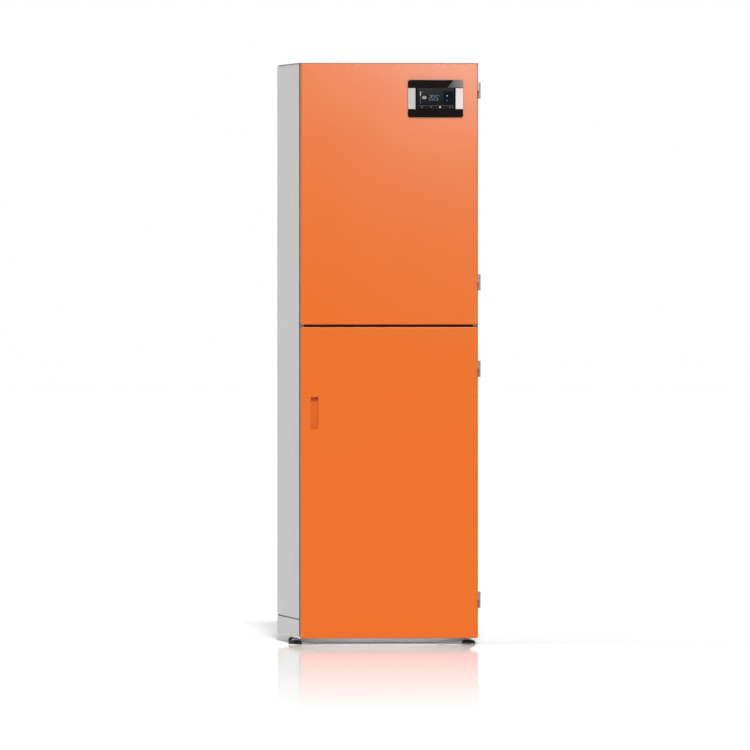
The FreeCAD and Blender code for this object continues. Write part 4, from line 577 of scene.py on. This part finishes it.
# Rings of a fastener from its seat up: radius and height as shares of its size, and whether six-sided
SOCKET_SCREW = (
    (1.0, 0.0, False),
    (1.0, 0.3, False),
    (0.85, 0.52, False),
    (0.55, 0.62, False),
    (0.45, 0.62, True),
    (0.40, 0.25, True),
)
HEX_BOLT = (
    (1.0, 0.0, False),
    (1.0, 0.12, False),
    (0.72, 0.13, True),
    (0.72, 0.55, True),
    (0.62, 0.66, False),
)
BLIND_RIVET = (
    (1.0, 0.0, False),
    (0.9, 0.24, False),
    (0.6, 0.4, False),
    (0.34, 0.44, False),
    (0.28, 0.3, False),
)
# Middles of the hinges from the top down, two to a door
HINGE_HEIGHTS = (1842 * MM, 1205 * MM, 918 * MM, 150.5 * MM)
# Directions
RIGHT = Vector((1, 0, 0))
UP = Vector((0, 0, 1))
FORWARD = Vector((0, -1, 0))
BACKWARD = Vector((0, 1, 0))


def turned(shape, seat, axis, size, rings, points=24):
    """Adds a form turned about an axis to a shape, from rings given in shares of its size."""
    turn = axis.to_track_quat("Z", "X").to_matrix()
    sixth = math.pi / 3
    loops = []
    for radius, height, six_sided in rings:
        loop = []
        for step in range(points):
            angle = 2 * math.pi * step / points
            reach = radius * size
            if six_sided:
                reach /= math.cos(angle % sixth - sixth / 2)
            spoke = Vector((reach * math.cos(angle), reach * math.sin(angle), height * size))
            loop.append(shape.verts.new(seat + turn @ spoke))
        loops.append(loop)
    for lower, upper in zip(loops, loops[1:]):
        for step in range(points):
            after = (step + 1) % points
            shape.faces.new((lower[step], lower[after], upper[after], upper[step]))
    shape.faces.new(loops[0][::-1])
    shape.faces.new(loops[-1])


def add_fasteners(name, node, body, facing, size, rings, places):
    """Seats a fastener on a node's outside at each place, looking along a direction."""
    mesh = NODES[node].data
    surface = BVHTree.FromPolygons([v.co for v in mesh.vertices], [p.vertices for p in mesh.polygons])
    shape = bmesh.new()
    for place in places:
        seat = surface.ray_cast(Vector(place) + facing, -facing)[0]
        turned(shape, seat, facing, size, rings)
    new_piece(name, shape, FINISHES["stainless"], body)


# A levelling foot from the floor up, in millimetres: radius, height and whether six-sided
FOOT_PAD = (
    (20.4, 0, False),
    (22.2, 1.2, False),
    (23.0, 4.2, False),
    (22.5, 7.4, False),
    (20.4, 10.0, False),
    (16.6, 12.0, False),
    (11.6, 13.0, False),
)
FOOT_NUT = (
    (8.9, 12.9, True),
    (9.5, 13.5, True),
    (9.5, 16.4, True),
    (8.9, 17.0, True),
)
FOOT_STEM_TOP = 66
FOOT_THREAD_PITCH = 2.5
FOOT_THREAD_ROOT = 5.4
FOOT_THREAD_CREST = 6.0


def foot_stem():
    """The rings of the threaded stem above the nut."""
    rings = []
    height = FOOT_NUT[-1][1] - FOOT_THREAD_PITCH
    while height < FOOT_STEM_TOP - FOOT_THREAD_PITCH:
        rings.append((FOOT_THREAD_ROOT, height, False))
        rings.append((FOOT_THREAD_CREST, height + FOOT_THREAD_PITCH / 2, False))
        height += FOOT_THREAD_PITCH
    rings.append((FOOT_THREAD_ROOT, FOOT_STEM_TOP, False))
    return rings


def add_feet():
    """Levelling feet with a domed black pad, a bright nut and a thread, in place of the plain ones."""
    for name in sorted(NODES):
        if not name.startswith("foot_"):
            continue
        low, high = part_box(name)
        seat = Vector(((low.x + high.x) / 2, (low.y + high.y) / 2, low.z))
        shape = bmesh.new()
        turned(shape, seat, UP, MM, FOOT_PAD)
        pad_faces = len(shape.faces)
        turned(shape, seat, UP, MM, FOOT_NUT)
        turned(shape, seat, UP, MM, foot_stem())
        foot = new_piece(f"{name}_dressed", shape, FINISHES["foot_black"], name)
        foot.data.materials.append(FINISHES["stainless"])
        for face in foot.data.polygons:
            face.material_index = int(face.index >= pad_faces)
        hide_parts(name)


def spaced(start, end, count):
    """Even steps from a start to an end, both included."""
    return [start + (end - start) * step / (count - 1) for step in range(count)]


def corners(node, inset):
    """The four corners of a node's front or back, a little inside its box."""
    low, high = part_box(node)
    return [(x, 0, z) for x in (low.x + inset, high.x - inset) for z in (low.z + inset, high.z - inset)]


def both_sides(reach, heights):
    """Places to the left and the right of the middle, at each height."""
    return [(side * reach, 0, height) for side in (-1, 1) for height in heights]


def add_hinge_screws():
    screw = 2.7 * MM
    offsets = (6.8 * MM, 20.2 * MM)
    casing_leaf = -341 * MM
    door_leaf = -370.5 * MM
    fixed = [(0, casing_leaf, height - offset) for height in HINGE_HEIGHTS for offset in offsets]
    add_fasteners("hinge_screws", "hinge_casing_halves", "cabinet", RIGHT, screw, SOCKET_SCREW, fixed)
    for body, heights in (("upper_door", HINGE_HEIGHTS[:2]), ("lower_door", HINGE_HEIGHTS[2:])):
        leaves = f"{body}_hinge_halves"
        moving = [(0, door_leaf, height + offset) for height in heights for offset in offsets]
        add_fasteners(f"{body}_hinge_screws", leaves, body, RIGHT, screw, SOCKET_SCREW, moving)


def add_liner_rivets():
    rivet = 3.2 * MM
    inset = 22 * MM
    columns = 4
    for body, rows in (("upper_door", 5), ("lower_door", 6)):
        low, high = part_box(f"{body}_liner")
        left = low.x + inset
        right = high.x - inset
        bottom = low.z + inset
        top = high.z - inset
        sides = [(x, 0, z) for x in (left, right) for z in spaced(bottom, top, rows)]
        ends = [(x, 0, z) for x in spaced(left, right, columns)[1:-1] for z in (bottom, top)]
        add_fasteners(f"{body}_rivets", f"{body}_liner", body, BACKWARD, rivet, BLIND_RIVET, sides + ends)


def add_rear_screws():
    bolt = 4.6 * MM
    bolts = 7
    lowest = 140 * MM
    highest = 1880 * MM
    fold = 288.5 * MM
    for side, node in ((-1, "side_panel_left"), (1, "side_panel_right")):
        places = [(side * fold, 0, height) for height in spaced(lowest, highest, bolts)]
        add_fasteners(f"{node}_screws", node, "cabinet", BACKWARD, bolt, HEX_BOLT, places)
    plate = "connection_plate"
    screw = 3 * MM
    inset = 7 * MM
    add_fasteners(f"{plate}_screws", plate, "cabinet", BACKWARD, screw, SOCKET_SCREW, corners(plate, inset))


def add_inner_screws():
    """Fasteners that show when the doors are open."""
    def seat(name, node, size, rings, places):
        add_fasteners(name, node, "cabinet", FORWARD, size, rings, places)

    box_screw = 3.2 * MM
    box_inset = 10 * MM
    seat("control_box_screws", "control_box", box_screw, SOCKET_SCREW, corners("control_box", box_inset))

    flange_bolt = 6 * MM
    flange_places = both_sides(92.5 * MM, (333 * MM, 517 * MM))
    seat("burner_bolts", "burner_body", flange_bolt, HEX_BOLT, flange_places)

    cover_screw = 4 * MM
    cover_places = both_sides(73 * MM, (354 * MM, 541 * MM))
    seat("burner_cover_screws", "burner_body", cover_screw, SOCKET_SCREW, cover_places)

    low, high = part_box("auger_screw")
    axis = (low.z + high.z) / 2
    lug_bolt = 4 * MM
    lug_reach = 20 * MM
    lug_rise = 50 * MM
    lug_places = both_sides(lug_reach, (axis - lug_rise, axis + lug_rise))
    seat("gearbox_bolts", "auger_gearmotor", lug_bolt, HEX_BOLT, lug_places)

    cap_screw = 3 * MM
    cap_reach = 14 * MM
    cap_places = both_sides(cap_reach, (axis - cap_reach, axis + cap_reach))
    seat("gearbox_cap_screws", "auger_gearmotor", cap_screw, SOCKET_SCREW, cap_places)

    apron_rivet = 3.5 * MM
    apron_places = both_sides(258 * MM, (1420 * MM, 1495 * MM, 1570 * MM))
    seat("apron_rivets", "hopper_walls", apron_rivet, BLIND_RIVET, apron_places)


def block(shape, low, high):
    """Adds a box to a shape, given by two opposite corners."""
    outline = ((low[0], low[2]), (high[0], low[2]), (high[0], high[2]), (low[0], high[2]))
    raised(shape, outline, low[1], high[1])


def add_edge_trims():
    """Thin dark strips: a dark edging round the top, and painted shade beside the doors and in the seam above
    the plinth, where the gaps lie in shadow.
    """
    left, front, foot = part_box("side_panel_left")[0]
    right, rear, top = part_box("side_panel_right")[1]
    sides = ((left, 1), (right, -1))
    edge_and_gap_shade = dark_edge_and_gap_shade()

    thick = 0.7 * MM
    cover = 0.5 * MM
    band_low = top - 3.8 * MM
    band_high = top - 0.4 * MM
    band_rear = rear - 60 * MM
    shape = bmesh.new()
    for side, inward in sides:
        outer = (side - inward * thick, front - thick, band_low)
        inner = (side + inward * cover, band_rear, band_high)
        block(shape, outer, inner)
    block(shape, (left + cover, front - thick, band_low), (right - cover, front + cover, band_high))
    new_piece("top_edging", shape, edge_and_gap_shade, "cabinet")

    # Painted shade: dark strips on the casing's front beside the doors, where the gap to the doors lies in
    # shadow
    lip_thick = 1.4 * MM
    lip_sunk = 0.1 * MM
    lip_outside = 1.5 * MM
    lip_inside = 6 * MM
    lip_low = 30 * MM
    shape = bmesh.new()
    for side, inward in sides:
        outer = (side + inward * lip_outside, front - lip_thick, lip_low)
        inner = (side + inward * lip_inside, front + lip_sunk, band_low)
        block(shape, outer, inner)
    new_piece("door_gap_shade_strips", shape, edge_and_gap_shade, "cabinet")

    # Painted shade: dark strips in the seam above the plinth, where the groove lies in shadow
    seam_outside = 0.5 * MM
    seam_inside = 5 * MM
    seam_inset = 3 * MM
    seam_play = 0.2 * MM
    seam_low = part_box("plinth_left")[1].z
    shape = bmesh.new()
    for side, inward in sides:
        outer = (side + inward * seam_outside, front + seam_inset, seam_low + seam_play)
        inner = (side + inward * seam_inside, rear - seam_inset, foot - seam_play)
        block(shape, outer, inner)
    new_piece("plinth_seam_shade_strip", shape, edge_and_gap_shade, "cabinet")


def add_floor():
    """A wide white floor with a faint mirror image in front of the part."""
    outline = (
        (-FLOOR_SIDE, FLOOR_FRONT, 0),
        (FLOOR_SIDE, FLOOR_FRONT, 0),
        (FLOOR_SIDE, FLOOR_REAR, 0),
        (-FLOOR_SIDE, FLOOR_REAR, 0),
    )
    mesh = bpy.data.meshes.new("floor")
    mesh.from_pydata(outline, [], [(0, 1, 2, 3)])
    floor = bpy.data.objects.new("floor", mesh)
    bpy.context.collection.objects.link(floor)
    finish = Finish("floor", FLOOR_COLOUR, FLOOR_ROUGHNESS)
    finish.set(Specular_IOR_Level=0, Emission_Color=(1, 1, 1, 1))
    depth = finish.axis("Y")
    across = finish.node("Math")
    across.operation = "ABSOLUTE"
    finish.link(finish.axis("X"), across.inputs[0])
    width = across.outputs["Value"]
    # The glow fades out under the part and close behind it: a painted shadow
    ahead = finish.between(depth, 0, FLOOR_GLOW, FLOOR_GLOW_FRONT_FROM, FLOOR_GLOW_FRONT_FULL)
    behind = finish.between(depth, 0, FLOOR_GLOW, FLOOR_GLOW_REAR_FROM, FLOOR_GLOW_REAR_FULL)
    beside = finish.between(width, 0, FLOOR_GLOW, FLOOR_GLOW_SIDE_FROM, FLOOR_GLOW_SIDE_FULL)
    glow = finish.combine("MAXIMUM", finish.combine("MAXIMUM", ahead, behind), beside)
    finish.link(glow, finish.shader.inputs["Emission Strength"])

    sheen = finish.node("BsdfGlossy")
    sheen.inputs["Roughness"].default_value = FLOOR_SHEEN_ROUGHNESS
    sheen.inputs["Color"].default_value = FLOOR_SHEEN_COLOUR
    blend = finish.node("MixShader")
    output = finish.tree.nodes["Material Output"]
    start = finish.between(depth, 0, 1, FLOOR_SHEEN_FROM, FLOOR_SHEEN_FULL)
    fade = finish.between(depth, FLOOR_SHEEN, 0, FLOOR_SHEEN_FULL, FLOOR_SHEEN_TO)
    slant = finish.node("LayerWeight")
    grazing = finish.between(slant.outputs["Facing"], 0, 1, FLOOR_SHEEN_SLANT, FLOOR_SHEEN_FLAT)
    share = finish.combine("MULTIPLY", finish.combine("MULTIPLY", start, fade), grazing)
    finish.link(share, blend.inputs["Fac"])
    finish.link(finish.shader.outputs["BSDF"], blend.inputs[1])
    finish.link(sheen.outputs["BSDF"], blend.inputs[2])
    finish.link(blend.outputs["Shader"], output.inputs["Surface"])
    mesh.materials.append(finish.material)


def add_sky():
    """A white studio with soft panels of more or less light; the camera sees it white all round."""
    world = bpy.data.worlds.new("studio")
    bpy.context.scene.world = world
    world.use_nodes = True
    tree = world.node_tree
    studio = tree.nodes["Background"]
    studio.inputs["Color"].default_value = (1, 1, 1, 1)
    backdrop = tree.nodes.new("ShaderNodeBackground")
    backdrop.inputs["Color"].default_value = (1, 1, 1, 1)
    backdrop.inputs["Strength"].default_value = 1.0
    place = tree.nodes.new("ShaderNodeTexCoord")
    level = None
    for direction, start, full, extra in SKY_PANELS:
        facing = tree.nodes.new("ShaderNodeVectorMath")
        facing.operation = "DOT_PRODUCT"
        facing.inputs[1].default_value = direction.normalized()
        panel = tree.nodes.new("ShaderNodeMapRange")
        panel.interpolation_type = "SMOOTHSTEP"
        panel.inputs["From Min"].default_value = start
        panel.inputs["From Max"].default_value = full
        panel.inputs["To Min"].default_value = 0
        panel.inputs["To Max"].default_value = extra
        total = tree.nodes.new("ShaderNodeMath")
        total.inputs[0].default_value = SKY_LEVEL
        if level is not None:
            tree.links.new(level, total.inputs[0])
        tree.links.new(place.outputs["Generated"], facing.inputs[0])
        tree.links.new(facing.outputs["Value"], panel.inputs["Value"])
        tree.links.new(panel.outputs["Result"], total.inputs[1])
        level = total.outputs["Value"]
    path = tree.nodes.new("ShaderNodeLightPath")
    mix = tree.nodes.new("ShaderNodeMixShader")
    tree.links.new(level, studio.inputs["Strength"])
    tree.links.new(path.outputs["Is Camera Ray"], mix.inputs["Fac"])
    tree.links.new(studio.outputs["Background"], mix.inputs[1])
    tree.links.new(backdrop.outputs["Background"], mix.inputs[2])
    tree.links.new(mix.outputs["Shader"], tree.nodes["World Output"].inputs["Surface"])


def add_lamp(name, kind, place, aim):
    """A lamp of a kind, at a place, shining at a point."""
    lamp = bpy.data.lights.new(name, kind)
    holder = bpy.data.objects.new(name, lamp)
    bpy.context.collection.objects.link(holder)
    holder.location = place
    holder.rotation_euler = (aim - place).to_track_quat("-Z", "Y").to_euler()
    return holder


def add_panel(name, place, aim, width, height, power):
    """A rectangular lamp that the camera doesn't see."""
    panel = add_lamp(name, "AREA", place, aim)
    panel.data.shape = "RECTANGLE"
    panel.data.size = width
    panel.data.size_y = height
    panel.data.energy = power
    panel.visible_camera = False
    return panel


def add_lights():
    sun = add_lamp("key_sun", "SUN", SUN_FROM * SUN_DISTANCE, Vector((0, 0, 0)))
    sun.data.energy = SUN_LEVEL
    sun.data.angle = SUN_SOFTNESS
    softbox = add_panel(
        "softbox", SOFTBOX_PLACE, SOFTBOX_AIM,
        SOFTBOX_WIDTH, SOFTBOX_HEIGHT, SOFTBOX_POWER)
    softbox.data.color = SOFTBOX_COLOUR
    softbox.data.spread = SOFTBOX_SPREAD
    softbox.visible_diffuse = False
    add_panel(
        "under_fill", UNDER_FILL_PLACE, UNDER_FILL_AIM,
        UNDER_FILL_WIDTH, UNDER_FILL_HEIGHT, UNDER_FILL_POWER)


def add_camera():
    """The photograph's view: far off, a little from the left and a little from above."""
    ahead = Vector((
        math.sin(VIEW_YAW) * math.cos(VIEW_PITCH),
        math.cos(VIEW_YAW) * math.cos(VIEW_PITCH),
        -math.sin(VIEW_PITCH),
    ))
    right = Vector((math.cos(VIEW_YAW), -math.sin(VIEW_YAW), 0))
    up = right.cross(ahead)
    camera = bpy.data.objects.new("camera", bpy.data.cameras.new("camera"))
    bpy.context.collection.objects.link(camera)
    turn = Matrix((right, up, -ahead)).transposed()
    camera.matrix_world = Matrix.Translation(VIEW_TARGET - ahead * VIEW_DISTANCE) @ turn.to_4x4()
    camera.data.sensor_width = SENSOR_WIDTH
    camera.data.lens = FOCAL_PIXELS * SENSOR_WIDTH / PHOTO_SIDE
    camera.data.clip_end = VIEW_CLIP
    bpy.context.scene.camera = camera


dress_nodes()
add_screen_marks()
add_feet()
add_hinge_screws()
add_liner_rivets()
add_rear_screws()
add_inner_screws()
add_edge_trims()
add_floor()
add_sky()
add_lights()
add_camera()

scene = bpy.context.scene
scene.view_settings.view_transform = "Standard"
scene.view_settings.look = "None"
